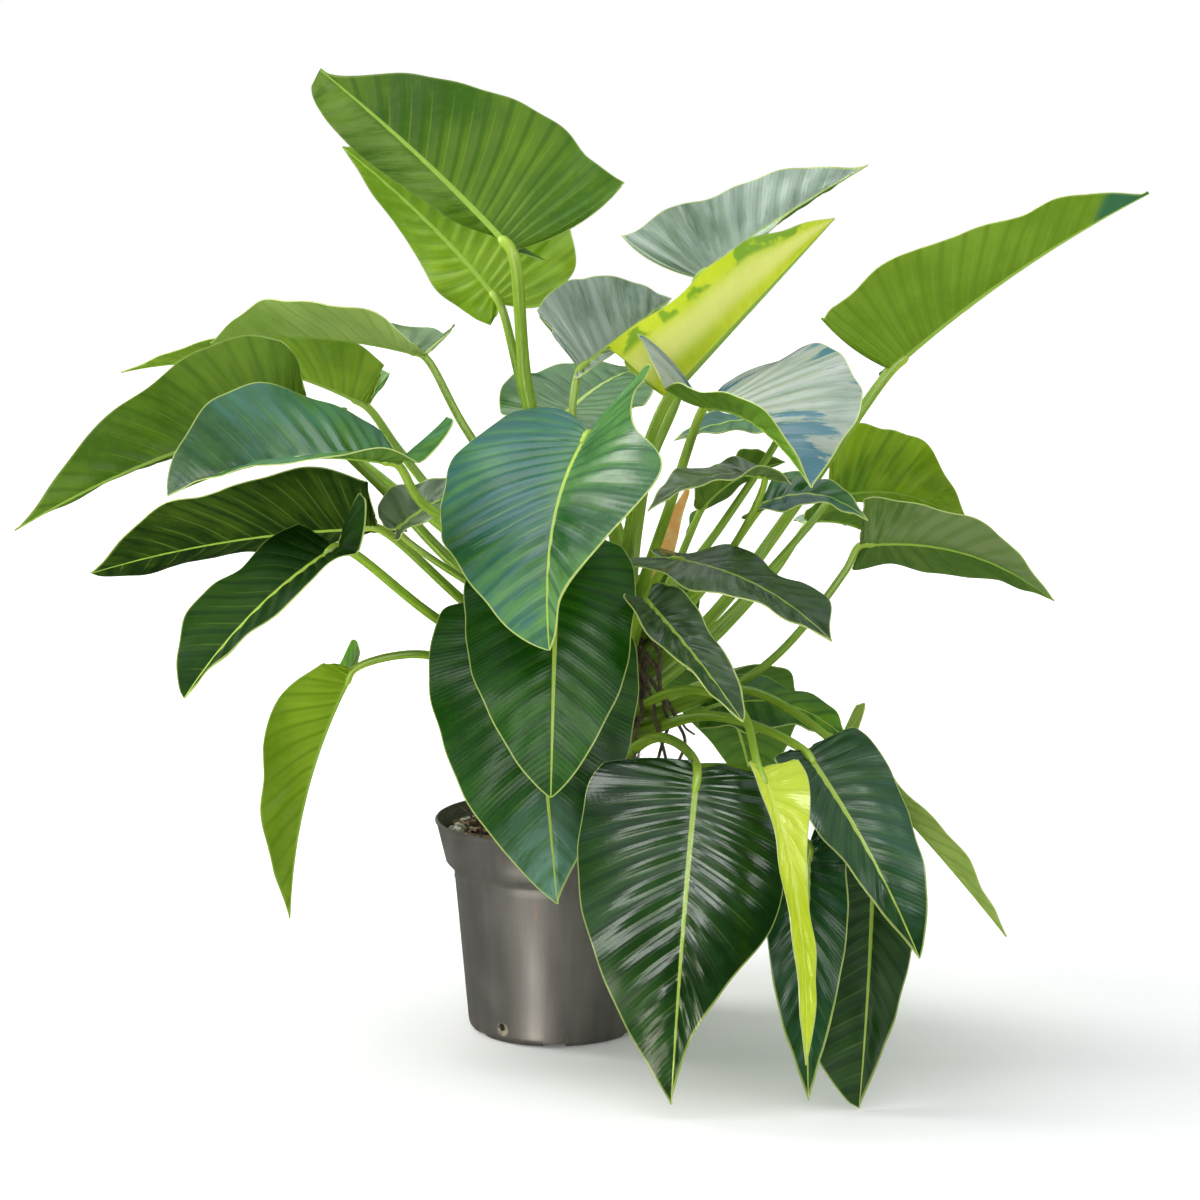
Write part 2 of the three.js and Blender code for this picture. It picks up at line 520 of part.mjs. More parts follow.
// The petiole's middle line, from inside the trunk to a little way under the blade.
function petiolePath(leaf) {
  const start = trunkAxis(leaf.root);
  const seat = midribAt(leaf, 0);
  const end = midribAt(leaf, 0.07).point;
  if (leaf.via.length > 0) {
    return splinePoints([start, ...leaf.via.map(vector), seat.point, end], PETIOLE_STEPS + 1);
  }
  const chord = seat.point.clone().sub(start);
  const reach = chord.length();
  const out = chord.clone().normalize();
  const first = start.clone().addScaledVector(out, 0.2 * reach);
  first.z += 0.165 * reach;
  const second = seat.point.clone().addScaledVector(seat.along, -0.08 * reach);
  second.addScaledVector(out, -0.12 * reach);
  const curve = new THREE.CubicBezierCurve3(start, first, second, seat.point);
  return [...curve.getPoints(PETIOLE_STEPS - 1), end];
}

function leafSolid(row) {
  const leaf = { ...LEAF_DEFAULTS, ...row };
  const path = petiolePath(leaf);
  const last = path.length - 1;
  const slimmer = leaf.radius[1] - leaf.radius[0];
  const radii = path.map((_, i) => leaf.radius[0] + slimmer * (i / last) ** 0.8);
  radii[last] = leaf.radius[1] * 0.6;
  const petiole = barSolid(path, radii, PETIOLE_SIDES);
  return petiole.add(bladeSolid(leaf));
}

// An aerial root: out of the trunk, over an arch and down to just under the mix's surface.
function rootSolid(root, grow) {
  const start = trunkAxis(root.height);
  const bearing = THREE.MathUtils.degToRad(root.bearing);
  const out = new THREE.Vector3(Math.cos(bearing), Math.sin(bearing), 0);
  const middle = (root.height + ROOT_FOOT) / 2;
  const arch = trunkAxis(middle).addScaledVector(out, TRUNK_RADII[1] + root.reach * 0.4);
  const foot = trunkAxis(ROOT_FOOT).addScaledVector(out, TRUNK_RADII[1] + root.reach);
  const points = splinePoints([start, arch, foot], ROOT_STEPS + 1);
  return barSolid(points, points.map(() => root.radius + grow), ROOT_SIDES);
}

// The trunk: a leaning, ringed stem with aerial roots running down into the mix.
function trunkSolid(grow) {
  const points = splinePoints(TRUNK_PATH.map(vector), TRUNK_STEPS + 1);
  const stations = TRUNK_PATH.map((p) => p[2]);
  const radii = points.map((p) => {
    const ring = Math.abs(Math.sin((Math.PI * p.z) / SCAR_SPACING)) ** 3;
    return through(stations, TRUNK_RADII, p.z) + SCAR_RELIEF * ring + grow;
  });
  const stem = barSolid(points, radii, TRUNK_SIDES);
  return ROOTS.reduce((all, root) => all.add(rootSolid(root, grow)), stem);
}

// The growing mix: it fills the pot to a rough, slightly domed top.
function soilSolid() {
  const rimFoot = POT_HEIGHT - RIM_BAND;
  const bodyTop = rimFoot - STEP_HEIGHT;
  const inside = WALL + SEAT_GAP;
  const share = (SOIL_LEVEL - rimFoot) / RIM_BAND;
  const edge = RIM_FOOT_RADIUS + (RIM_RADIUS - RIM_FOOT_RADIUS) * share - inside;
  const profile = [
    [0, inside],
    [BASE_RADIUS - BASE_CHAMFER - SEAT_GAP, inside],
    [BASE_RADIUS - inside, BASE_CHAMFER + SEAT_GAP],
    [BODY_TOP_RADIUS - inside, bodyTop + SEAT_GAP],
    [RIM_FOOT_RADIUS - inside, rimFoot + SEAT_GAP],
    [edge, SOIL_LEVEL],
    ...SOIL_RINGS.slice().reverse().map((radius) => [radius, SOIL_LEVEL]),
    [0, SOIL_LEVEL],
  ];
  const lathe = new THREE.LatheGeometry(profile.map(([r, z]) => new THREE.Vector2(r, z)), POT_SIDES);
  lathe.rotateX(Math.PI / 2);
  const spots = lathe.attributes.position;
  for (let i = 0; i < spots.count; i += 1) {
    const x = spots.getX(i);
    const y = spots.getY(i);
    const inner = Math.hypot(x, y) < SOIL_RINGS[SOIL_RINGS.length - 1] + 1;
    if (inner && spots.getZ(i) > SOIL_LEVEL - 1) {
      const wave = SOIL_WAVE;
      const swell = Math.sin(x * wave.acrossX + wave.shift) * Math.cos(y * wave.acrossY);
      const slant = SOIL_SLANT_SHARE * Math.sin(x * wave.slantX - y * wave.slantY);
      spots.setZ(i, SOIL_LEVEL + SOIL_ROUGHNESS * (swell + slant));
    }
  }
  const solid = solidOf(lathe);
  return solid.volume() < 0 ? solidOf(flipped(lathe)) : solid;
}

function sheathSolid() {
  const path = SHEATH_PATH.map(vector);
  const positions = [];
  const index = [];
  const side = vector(SHEATH_ACROSS);
  path.forEach((point, i) => {
    const ahead = path[Math.min(i + 1, path.length - 1)].clone();
    const along = ahead.sub(path[Math.max(i - 1, 0)]).normalize();
    const across = side.clone().addScaledVector(along, -side.dot(along)).normalize();
    const thin = new THREE.Vector3().crossVectors(across, along);
    for (const [u, v] of [[-1, -1], [1, -1], [1, 1], [-1, 1]]) {
      const spot = point.clone().addScaledVector(across, (u * SHEATH_WIDTHS[i]) / 2);
      spot.addScaledVector(thin, (v * SHEATH_THICKNESS) / 2);
      positions.push(spot.x, spot.y, spot.z);
    }
  });
  for (let i = 0; i < path.length - 1; i += 1) {
    for (let k = 0; k < 4; k += 1) {
      const a = i * 4 + k;
      const b = i * 4 + ((k + 1) % 4);
      index.push(a, b, b + 4, a, b + 4, a + 4);
    }
  }
  const top = (path.length - 1) * 4;
  index.push(0, 2, 1, 0, 3, 2, top, top + 1, top + 2, top, top + 2, top + 3);
  const geometry = new THREE.BufferGeometry();
  geometry.setAttribute('position', new THREE.Float32BufferAttribute(positions, 3));
  geometry.setIndex(index);
  const solid = solidOf(geometry);
  return solid.volume() < 0 ? solidOf(flipped(geometry)) : solid;
}

function potSolid() {
  const rimFoot = POT_HEIGHT - RIM_BAND;
  const bodyTop = rimFoot - STEP_HEIGHT;
  const profile = [
    [0, 0],
    [BASE_RADIUS - BASE_CHAMFER, 0],
    [BASE_RADIUS, BASE_CHAMFER],
    [BODY_TOP_RADIUS, bodyTop],
    [RIM_FOOT_RADIUS, rimFoot],
    [RIM_RADIUS, POT_HEIGHT],
    [RIM_RADIUS - WALL, POT_HEIGHT],
    [RIM_FOOT_RADIUS - WALL, rimFoot],
    [BODY_TOP_RADIUS - WALL, bodyTop],
    [BASE_RADIUS - WALL, BASE_CHAMFER],
    [BASE_RADIUS - BASE_CHAMFER, WALL],
    [0, WALL],
  ];
  const lathe = new THREE.LatheGeometry(profile.map(([r, z]) => new THREE.Vector2(r, z)), POT_SIDES);
  lathe.rotateX(Math.PI / 2);
  let pot = solidOf(lathe);
  if (pot.volume() < 0) {
    pot = solidOf(flipped(lathe));
  }
  for (let i = 0; i < NOTCH_COUNT; i += 1) {
    const notch = new THREE.BoxGeometry(CUT_DEPTH, NOTCH_WIDTH, 2 * NOTCH_HEIGHT);
    notch.translate(BASE_RADIUS, 0, 0);
    notch.rotateZ((2 * Math.PI * (i + 0.5)) / NOTCH_COUNT);
    pot = pot.subtract(solidOf(notch));
  }
  for (const bearing of DRAIN_BEARINGS) {
    const drain = new THREE.CylinderGeometry(DRAIN_RADIUS, DRAIN_RADIUS, CUT_DEPTH, DRAIN_SIDES);
    drain.rotateZ(Math.PI / 2);
    drain.translate(BASE_RADIUS, 0, DRAIN_HEIGHT);
    drain.rotateZ(THREE.MathUtils.degToRad(bearing));
    pot = pot.subtract(solidOf(drain));
  }
  return pot;
}

const colours = {
  pot: 0x4a4745,
  soil: 0x3b2a1e,
  trunk: 0x6b5a35,
  sheath: 0xc88a45,
  leaf: 0x2f6b35,
  young: 0xc8dc4a,
};

function meshOf(name, solid, colour, roughness) {
  const material = new THREE.MeshStandardMaterial({ color: colour, roughness, metalness: 0 });
  const mesh = new THREE.Mesh(geometryOf(solid), material);
  mesh.name = name;
  return mesh;
}

const plant = new THREE.Group();
const trunk = trunkSolid(0);
const trunkRoom = trunkSolid(SEAT_GAP);
plant.add(meshOf('pot', potSolid(), colours.pot, 0.5));
plant.add(meshOf('soil', soilSolid().subtract(trunkRoom), colours.soil, 0.95));
plant.add(meshOf('trunk', trunk, colours.trunk, 0.85));
plant.add(meshOf('dried_sheath', sheathSolid().subtract(trunkRoom), colours.sheath, 0.8));
for (const row of LEAVES) {
  const young = row.name === 'leaf_rolled' || row.name === 'leaf_low_2';
  const solid = leafSolid(row).subtract(trunkRoom);
  plant.add(meshOf(row.name, solid, young ? colours.young : colours.leaf, 0.4));
}

export default plant;
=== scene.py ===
"""A green beauty philodendron in its nursery pot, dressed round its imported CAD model."""

import math
import random

import bmesh
import bpy
import numpy as np
from mathutils import Matrix, Vector, noise


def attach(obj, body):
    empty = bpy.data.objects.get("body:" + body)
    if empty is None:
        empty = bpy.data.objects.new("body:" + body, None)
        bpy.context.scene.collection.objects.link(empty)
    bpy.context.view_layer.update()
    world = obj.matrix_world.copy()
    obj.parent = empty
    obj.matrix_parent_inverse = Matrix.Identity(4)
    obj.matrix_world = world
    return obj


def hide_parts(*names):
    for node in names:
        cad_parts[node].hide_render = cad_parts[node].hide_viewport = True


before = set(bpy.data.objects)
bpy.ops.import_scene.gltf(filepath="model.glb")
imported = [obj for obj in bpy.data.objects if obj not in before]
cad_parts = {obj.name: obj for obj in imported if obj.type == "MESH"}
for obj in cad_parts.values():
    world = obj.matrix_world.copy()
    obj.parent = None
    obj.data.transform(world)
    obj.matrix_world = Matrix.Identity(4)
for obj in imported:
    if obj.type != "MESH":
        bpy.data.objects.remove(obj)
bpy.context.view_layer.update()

# The nursery pot: blow-moulded plastic in dark warm grey, with a stepped rim band and a rolled lip.
# Its foot is cut by six low slots, and small drain holes sit just above them. It stands on the floor.
MM = 0.001
POT_OUTSIDE = [(0, 0), (79, 0), (84, 1.2), (87, 4.4), (88.2, 9), (101, 154), (101.7, 155.5), (101.4, 157),
               (101.9, 163), (102.8, 164.6), (109, 171), (110, 172.4), (112.3, 182), (119.2, 210.8),
               (120.4, 211.8), (120.6, 213.6), (119.6, 215)]
POT_INSIDE = [(118.4, 215), (117.4, 213.6), (107.6, 172.8), (99.6, 164.4), (85.6, 9.4), (79, 2.6), (0, 2.6)]
POT_STEPS = 96
SHARP_ANGLE = math.radians(38)
FOOT_SLOTS = 6
SLOT_SIZE = (30, 22, 10)
DRAIN_BEARINGS = (234, 354, 114)
DRAIN_RADIUS = 4
DRAIN_HEIGHT = 17
DRAIN_DEPTH = 20
FOOT_RADIUS = 88
PLASTIC_DARK = (0.085, 0.08, 0.07)
PLASTIC_LIT = (0.135, 0.126, 0.11)
PLASTIC_WORN = (0.17, 0.155, 0.135)
DUST_COLOUR = (0.2, 0.15, 0.1)
DUST_TOP = 0.03
RUST_COLOUR = (0.3, 0.12, 0.05)
SCUFF_PLACE = (-0.018, -0.1, 0.14)
SCUFF_STRETCH = (380, 20, 75)
CRUST_COLOUR = (0.46, 0.4, 0.28)
CRUST_PLACE = (-0.0525, -0.0735, 0.0145)
CRUST_EDGE = (0.0085, 0.005)


def node(tree, kind, *values, **settings):
    """A shader node whose sockets take the values, which are numbers, colours or other sockets."""
    made = tree.nodes.new("ShaderNode" + kind)
    for key, value in settings.items():
        setattr(made, key, value)
    for place, value in enumerate(values):
        if isinstance(value, bpy.types.NodeSocket):
            tree.links.new(value, made.inputs[place])
        elif value is not None:
            made.inputs[place].default_value = value
    return made.outputs[0]


def object_point(tree):
    """The shaded point in its piece's own space, in metres."""
    return tree.nodes.new("ShaderNodeTexCoord").outputs["Object"]


def axes(tree, vector):
    """The three numbers of a vector."""
    return list(node(tree, "SeparateXYZ", vector).node.outputs)


def scaled(tree, vector, scale):
    """The vector times a scale for each axis."""
    return node(tree, "VectorMath", vector, scale, operation="MULTIPLY")


def distance_to(tree, point, place, stretch=(1, 1, 1)):
    """How far a point is from a place, with a stretch for each axis."""
    offset = node(tree, "VectorMath", point, place, operation="SUBTRACT")
    return node(tree, "VectorMath", scaled(tree, offset, stretch), operation="LENGTH").node.outputs["Value"]


def speckle(tree, vector, scale, detail=3.0, roughness=0.55):
    """Noise from 0 to 1 on a vector."""
    return node(tree, "TexNoise", vector, None, scale, detail, roughness, noise_dimensions="3D")


def step(tree, value, low, high, start=0.0, end=1.0):
    """A smooth change from start to end while the value goes from low to high."""
    return node(tree, "MapRange", value, low, high, start, end, interpolation_type="SMOOTHSTEP")


def mixed(tree, share, *colours):
    """The second colour over the first. Each is a socket, or a red, a green and a blue."""
    colours = (colour if isinstance(colour, bpy.types.NodeSocket) else (*colour, 1) for colour in colours)
    return node(tree, "MixRGB", share, *colours)


def maths(tree, operation, *values):
    """A sum, product or other function of numbers."""
    return node(tree, "Math", *values, operation=operation)


def finish(name, **inputs):
    """A new material, with fixed values on its shader's own sockets."""
    made = bpy.data.materials.new(name)
    made.use_nodes = True
    shader = made.node_tree.nodes["Principled BSDF"]
    for socket, value in inputs.items():
        shader.inputs[socket.replace("_", " ")].default_value = value
    return made, made.node_tree, shader


def paint(tree, shader, colour, roughness=None, relief=None, height=0.0, strength=0.6):
    """Joins colour, roughness and a bump of the given height in metres to the shader."""
    tree.links.new(colour, shader.inputs["Base Color"])
    if roughness is not None:
        tree.links.new(roughness, shader.inputs["Roughness"])
    if relief is not None:
        bump = tree.nodes.new("ShaderNodeBump")
        bump.inputs["Strength"].default_value = strength
        bump.inputs["Distance"].default_value = height
        tree.links.new(relief, bump.inputs["Height"])
        tree.links.new(bump.outputs["Normal"], shader.inputs["Normal"])


def piece(name, bm, materials, stands_for, sharp=SHARP_ANGLE):
    """Turns a bmesh into a piece of the object that stands for its CAD node."""
    mesh = bpy.data.meshes.new(name)
    bm.to_mesh(mesh)
    bm.free()
    for material in materials:
        mesh.materials.append(material)
    mesh.shade_smooth()
    mesh.set_sharp_from_angle(angle=sharp)
    made = bpy.data.objects.new(name, mesh)
    bpy.context.scene.collection.objects.link(made)
    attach(made, "root")
    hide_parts(stands_for)
    return made


def lathe(profile, steps):
    """A round body from pairs of radius and height in millimetres."""
    bm = bmesh.new()
    line = [bm.verts.new((radius * MM, 0, height * MM)) for radius, height in profile]
    for low, high in zip(line, line[1:]):
        bm.edges.new((low, high))
    bmesh.ops.spin(bm, geom=bm.verts[:] + bm.edges[:], cent=(0, 0, 0), axis=(0, 0, 1),
                   angle=math.tau, steps=steps, use_merge=True)
    bmesh.ops.remove_doubles(bm, verts=bm.verts, dist=1e-6)
    bmesh.ops.recalc_face_normals(bm, faces=bm.faces)
    return bm


def carved(bm, cutter):
    """The body without the room that the cutter takes."""
    made = []
    for name, shape in (("body", bm), ("cutter", cutter)):
        mesh = bpy.data.meshes.new(name)
        shape.to_mesh(mesh)
        shape.free()
        made.append(bpy.data.objects.new(name, mesh))
        bpy.context.scene.collection.objects.link(made[-1])
    cut = made[0].modifiers.new("cut", "BOOLEAN")
    cut.operation = "DIFFERENCE"
    cut.solver = "EXACT"
    cut.object = made[1]
    result = bmesh.new()
    result.from_object(made[0], bpy.context.evaluated_depsgraph_get())
    for spare in made:
        bpy.data.objects.remove(spare)
    return result


cutter = bmesh.new()
for count in range(FOOT_SLOTS):
    turn = Matrix.Rotation(math.tau * (count + 0.5) / FOOT_SLOTS, 4, "Z")
    place = turn @ Matrix.Translation((FOOT_RADIUS * MM, 0, 0))
    bmesh.ops.create_cube(cutter, size=1, matrix=place @ Matrix.Diagonal((*(s * MM for s in SLOT_SIZE), 1)))
for bearing in DRAIN_BEARINGS:
    turn = Matrix.Rotation(math.radians(bearing), 4, "Z")
    place = turn @ Matrix.Translation((FOOT_RADIUS * MM, 0, DRAIN_HEIGHT * MM))
    bmesh.ops.create_cone(cutter, cap_ends=True, segments=20, radius1=DRAIN_RADIUS * MM,
                          radius2=DRAIN_RADIUS * MM, depth=DRAIN_DEPTH * MM,
                          matrix=place @ Matrix.Rotation(math.pi / 2, 4, "Y"))

pot_plastic, tree, shader = finish("pot_plastic", Specular_IOR_Level=0.9)
spot = object_point(tree)
height = axes(tree, spot)[2]
streaks = speckle(tree, scaled(tree, spot, (60, 60, 5)), 1.0, 4.0)
clouds = speckle(tree, spot, 14.0, 4.0)
grain = speckle(tree, spot, 900.0, 2.0)
plastic = mixed(tree, step(tree, streaks, 0.3, 0.75), PLASTIC_DARK, PLASTIC_LIT)
plastic = mixed(tree, step(tree, clouds, 0.45, 0.8, 0.0, 0.45), plastic, PLASTIC_WORN)
scuffed = step(tree, distance_to(tree, spot, SCUFF_PLACE, SCUFF_STRETCH), 1.0, 0.3, 0.0, 0.75)
scuff = maths(tree, "MULTIPLY", scuffed, step(tree, speckle(tree, spot, 420.0), 0.42, 0.6))
plastic = mixed(tree, scuff, plastic, RUST_COLOUR)
dusty = step(tree, height, DUST_TOP, 0.0, 0.0, 0.7)
dust = maths(tree, "MULTIPLY", dusty, step(tree, speckle(tree, spot, 260.0, 3.0), 0.55, 0.68))
plastic = mixed(tree, dust, plastic, DUST_COLOUR)
crusted = step(tree, distance_to(tree, spot, CRUST_PLACE), *CRUST_EDGE)
crust = maths(tree, "MULTIPLY", crusted, step(tree, speckle(tree, spot, 380.0), 0.4, 0.5))
plastic = mixed(tree, crust, plastic, CRUST_COLOUR)
paint(tree, shader, plastic, step(tree, clouds, 0.3, 0.8, 0.36, 0.55), grain, 0.0002, 0.5)
piece("nursery_pot", carved(lathe(POT_OUTSIDE + POT_INSIDE, POT_STEPS), cutter), [pot_plastic], "pot")

# The growing mix: bark chips, coarse fibre and white grains of expanded rock, filled to 22 mm under
# the lip. It holds the trunk, and a heap of pale chips lies against the wall on the left.
SOIL_LEVEL = 193
SOIL_SIDE = [(0, 2.9), (78.7, 2.9), (85.1, 9.3), (99.1, 164.3), (107.1, 172.3), (111.9, 193)]
SOIL_RINGS = (108, 98, 88, 78, 68, 58, 48, 38, 28, 18, 9, 0)
SOIL_STEPS = 90
MIX_RADIUS = 108
CHIP_COUNT = 320
CHIP_SIZES = (3, 7.5)
CHIP_SHAPE = (1.7, 0.9, 0.5)
CHIP_TILT = 0.7
CHIP_SUNK = 0.2
CHIP_ROUGHNESS = 0.35
GRAIN_COUNT = 150
GRAIN_SIZES = (1.3, 2.9)
GRAIN_SHAPE = (1, 0.9, 0.8)
HEAP_COUNT = 70
HEAP_SIZES = (3.2, 6)
HEAP_BEARINGS = (138, 212)
HEAP_RISE = 9
HEAP_SPREAD = (0.7, 0.97)


def soil_height(x, y):
    """The height of the mix in metres under a point of its surface."""
    wide = math.sin(x * 190 + 1.3) * math.cos(y * 230) + 0.6 * math.sin(x * 110 - y * 170)
    near = noise.noise(Vector((x * 70, y * 70, 0))) + 0.5 * noise.noise(Vector((x * 190, y * 190, 3)))
    return (SOIL_LEVEL + 3 * wide + 2.4 * near) * MM


soil = lathe(SOIL_SIDE + [(radius, SOIL_LEVEL) for radius in SOIL_RINGS], SOIL_STEPS)
for vert in soil.verts:
    if vert.co.z > (SOIL_LEVEL - 1) * MM and vert.co.xy.length < 110 * MM:
        vert.co.z = soil_height(vert.co.x, vert.co.y)
# Without a seed of its own, noise_vector gives other values in each run.
noise.seed_set(26)
draw = random.Random(11)
for count in range(CHIP_COUNT + GRAIN_COUNT + HEAP_COUNT):
    is_chip = count < CHIP_COUNT
    in_heap = count >= CHIP_COUNT + GRAIN_COUNT
    radius = MIX_RADIUS * math.sqrt(draw.uniform(*HEAP_SPREAD) if in_heap else draw.random()) * MM
    bearing = math.radians(draw.uniform(*HEAP_BEARINGS)) if in_heap else draw.random() * math.tau
    x, y = radius * math.cos(bearing), radius * math.sin(bearing)
    size = draw.uniform(*(CHIP_SIZES if is_chip else GRAIN_SIZES))
    if in_heap:
        size = draw.uniform(*HEAP_SIZES)
        is_chip = count % 3 == 0
    stretch = CHIP_SHAPE if is_chip else GRAIN_SHAPE
    turn = Matrix.Rotation(draw.random() * math.tau, 4, "Z")
    turn = turn @ Matrix.Rotation(draw.uniform(-CHIP_TILT, CHIP_TILT), 4, "X")
    lift = draw.uniform(0, HEAP_RISE) if in_heap else 0
    place = Matrix.Translation((x, y, soil_height(x, y) + (CHIP_SUNK * size + lift) * MM))
    chip = bmesh.ops.create_icosphere(soil, subdivisions=1, radius=size * MM,
                                      matrix=place @ turn @ Matrix.Diagonal((*stretch, 1)))["verts"]
    for vert in chip:
        vert.co += noise.noise_vector(vert.co * 260) * size * CHIP_ROUGHNESS * MM
    for face in {face for vert in chip for face in vert.link_faces}:
        face.material_index = 1 if is_chip else 2


def crumbly(name, roughness, dark, pale, edges, stretch, detail, height, strength):
    """A rough broken surface in two colours, with a bump of the given height in metres."""
    made, tree, shader = finish(name, Roughness=roughness)
    crumbs = speckle(tree, scaled(tree, object_point(tree), stretch), 1.0, *detail)
    paint(tree, shader, mixed(tree, step(tree, crumbs, *edges), dark, pale), None, crumbs, height, strength)
    return made


soil_fibre = crumbly("soil_fibre", 0.95, (0.018, 0.011, 0.007), (0.11, 0.066, 0.036), (0.35, 0.7),
                     (240, 240, 240), (6.0, 0.7), 0.002, 0.9)
bark_chip = crumbly("bark_chip", 0.85, (0.07, 0.035, 0.018), (0.36, 0.23, 0.13), (0.3, 0.75),
                    (160, 160, 480), (5.0, 0.7), 0.001, 0.9)
white_grain = crumbly("white_grain", 0.9, (0.42, 0.38, 0.32), (0.75, 0.72, 0.66), (0.35, 0.65),
                      (700, 700, 700), (4.0,), 0.0006, 0.8)
piece("growing_mix", soil, [soil_fibre, bark_chip, white_grain], "soil")

# The trunk: a leaning woody stem, ringed by the scars of old leaves and wrapped in brown fibre.
# It is rooted in the mix. Aerial roots run down beside it, a few hang loose in front of it, and thin
# dead root ends reach over the pot's lip on the left.
TRUNK_PATH = [[28, 12, 120], [34, 12, 190], [52, 10, 255], [68, 6, 330], [72, 5, 400], [66, 4, 446]]
TRUNK_HEIGHTS = [height for _, _, height in TRUNK_PATH]
TRUNK_RADII = [24, 26, 25, 22, 19, 9]
TRUNK_RINGS = 200
TRUNK_SIDES = 56
SCAR_SPACING = 24
SCAR_HEIGHT = 1.6
BARK_WIDE = 1.5
BARK_FINE = 0.8
ROOTS = [
    dict(height=300, bearing=320, reach=26, radius=3.2),
    dict(height=262, bearing=285, reach=22, radius=3.6),
    dict(height=275, bearing=30, reach=24, radius=3.2),
    dict(height=250, bearing=100, reach=20, radius=3.4),
    dict(height=288, bearing=170, reach=24, radius=3),
    dict(height=240, bearing=225, reach=24, radius=3.6),
]
ROOT_FOOT = 186
ROOT_RINGS = 36
ROOT_SIDES = 12
POINT_NUMBERS = ("vein", "rib", "margin", "across")
FIBRE_COUNT = 120
FIBRE_FEET = (205, 400)
FIBRE_LENGTHS = (14, 46)
FIBRE_GAPS = (0.6, 2.6)
FIBRE_RADII = (0.35, 0.95)
FIBRE_END = 0.35
FIBRE_RINGS = 8
LOOSE_ROOT_RINGS = 60
LOOSE_ROOT_RADII = (2.4, 1.1)
LOOSE_ROOTS = [
    [[84, -12, 388], [103, -28, 364], [112, -37, 320], [97, -40, 262], [90, -38, 196]],
    [[80, -14, 374], [95, -32, 346], [104, -44, 306], [119, -46, 256], [108, -44, 193]],
    [[86, -6, 364], [109, -20, 338], [127, -27, 304], [114, -33, 250], [98, -30, 196]],
    [[74, -16, 352], [84, -34, 330], [80, -44, 292], [82, -50, 244], [66, -44, 194]],
    [[90, -10, 402], [101, -24, 384], [108, -34, 352], [122, -40, 322], [139, -34, 306]],
]
DEAD_END_RINGS = 14
DEAD_END_RADII = (1.3, 0.7)
DEAD_ENDS = [
    [(30, 0, 214), (-20, -30, 226), (-70, -52, 236), (-96, -60, 232), (-106, -64, 236)],
    [(30, -6, 212), (-30, -44, 222), (-78, -66, 226), (-92, -66, 240), (-101, -66, 230)],
    [(34, -10, 210), (-20, -50, 218), (-66, -70, 232), (-88, -72, 226)],
]


def through(stations, values, position):
    """A smooth value through stations, with each slope taken from the neighbours."""
    stations, values = np.asarray(stations, float), np.asarray(values, float)
    slopes = np.gradient(values, stations)
    position = np.clip(position, stations[0], stations[-1])
    i = np.clip(np.searchsorted(stations, position, side="right") - 1, 0, len(stations) - 2)
    wide = stations[i + 1] - stations[i]
    u = (position - stations[i]) / wide
    low = (2 * u**3 - 3 * u**2 + 1) * values[i] + (u**3 - 2 * u**2 + u) * wide * slopes[i]
    return low + (3 * u**2 - 2 * u**3) * values[i + 1] + (u**3 - u**2) * wide * slopes[i + 1]


def curve_through(points, count):
    """That many points on a smooth curve through a few."""
    points = np.array(points, float)
    stations = np.r_[0, np.cumsum(np.linalg.norm(np.diff(points, axis=0), axis=1) ** 0.5)]
    at = np.linspace(0, stations[-1], count)
    return np.stack([through(stations, points[:, axis], at) for axis in range(3)], axis=1)


def unit(vectors):
    """Vectors of length one along the last axis."""
    vectors = np.asarray(vectors, float)
    return vectors / np.linalg.norm(vectors, axis=-1, keepdims=True)


def layers(bm):
    """The four numbers that each point of a leaf or stem carries for its material."""
    kept = bm.verts.layers.float
    return [kept.get(name) or kept.new(name) for name in POINT_NUMBERS]


def tube_into(bm, path, radii, sides, material=0):
    """Adds a closed bar along a path in millimetres. Radii may vary from ring to ring and round it."""
    rings = len(path)
    radii = np.broadcast_to(np.asarray(radii, float).reshape(rings, -1), (rings, sides + 1))
    along = unit(np.gradient(path, axis=0))
    run = np.r_[0, np.cumsum(np.linalg.norm(np.diff(path, axis=0), axis=1))]
    helper = np.array([1.0, 0, 0]) if abs(along[0][2]) > 0.9 else np.array([0, 0, 1.0])
    side = unit(np.cross(along[0], helper))
    frames = []
    for ahead in along:
        side = unit(side - ahead * (side @ ahead))
        frames.append((side, np.cross(side, ahead)))
    vein, rib, margin, across = layers(bm)
    verts = bmesh.ops.create_grid(bm, x_segments=sides, y_segments=rings - 1, size=1)["verts"]
    for vert in verts:
        column = round((vert.co.x + 1) / 2 * sides)
        ring = round((vert.co.y + 1) / 2 * (rings - 1))
        angle = math.tau * column / sides
        out = frames[ring][0] * math.cos(angle) + frames[ring][1] * math.sin(angle)
        vert.co = (path[ring] + out * radii[ring][column % sides]) * MM
        vert[vein], vert[rib] = run[ring], run[-1] - run[ring]
        vert[margin], vert[across] = math.sin(angle), math.cos(angle)
    bmesh.ops.remove_doubles(bm, verts=verts, dist=1e-6)
    verts = [vert for vert in verts if vert.is_valid]
    faces = {face for vert in verts for face in vert.link_faces}
    rim = [edge for edge in {edge for face in faces for edge in face.edges} if edge.is_boundary]
    faces |= set(bmesh.ops.holes_fill(bm, edges=rim, sides=0)["faces"])
    bmesh.ops.recalc_face_normals(bm, faces=list(faces))
    for face in faces:
        face.material_index = material


def trunk_axis(height):
    """The middle of the trunk at a height."""
    x, y = (through(TRUNK_HEIGHTS, [place[axis] for place in TRUNK_PATH], height) for axis in (0, 1))
    return np.array([x, y, height])


def trunk_girth(height):
    """The trunk's radius at a height."""
    return through(TRUNK_HEIGHTS, TRUNK_RADII, height)


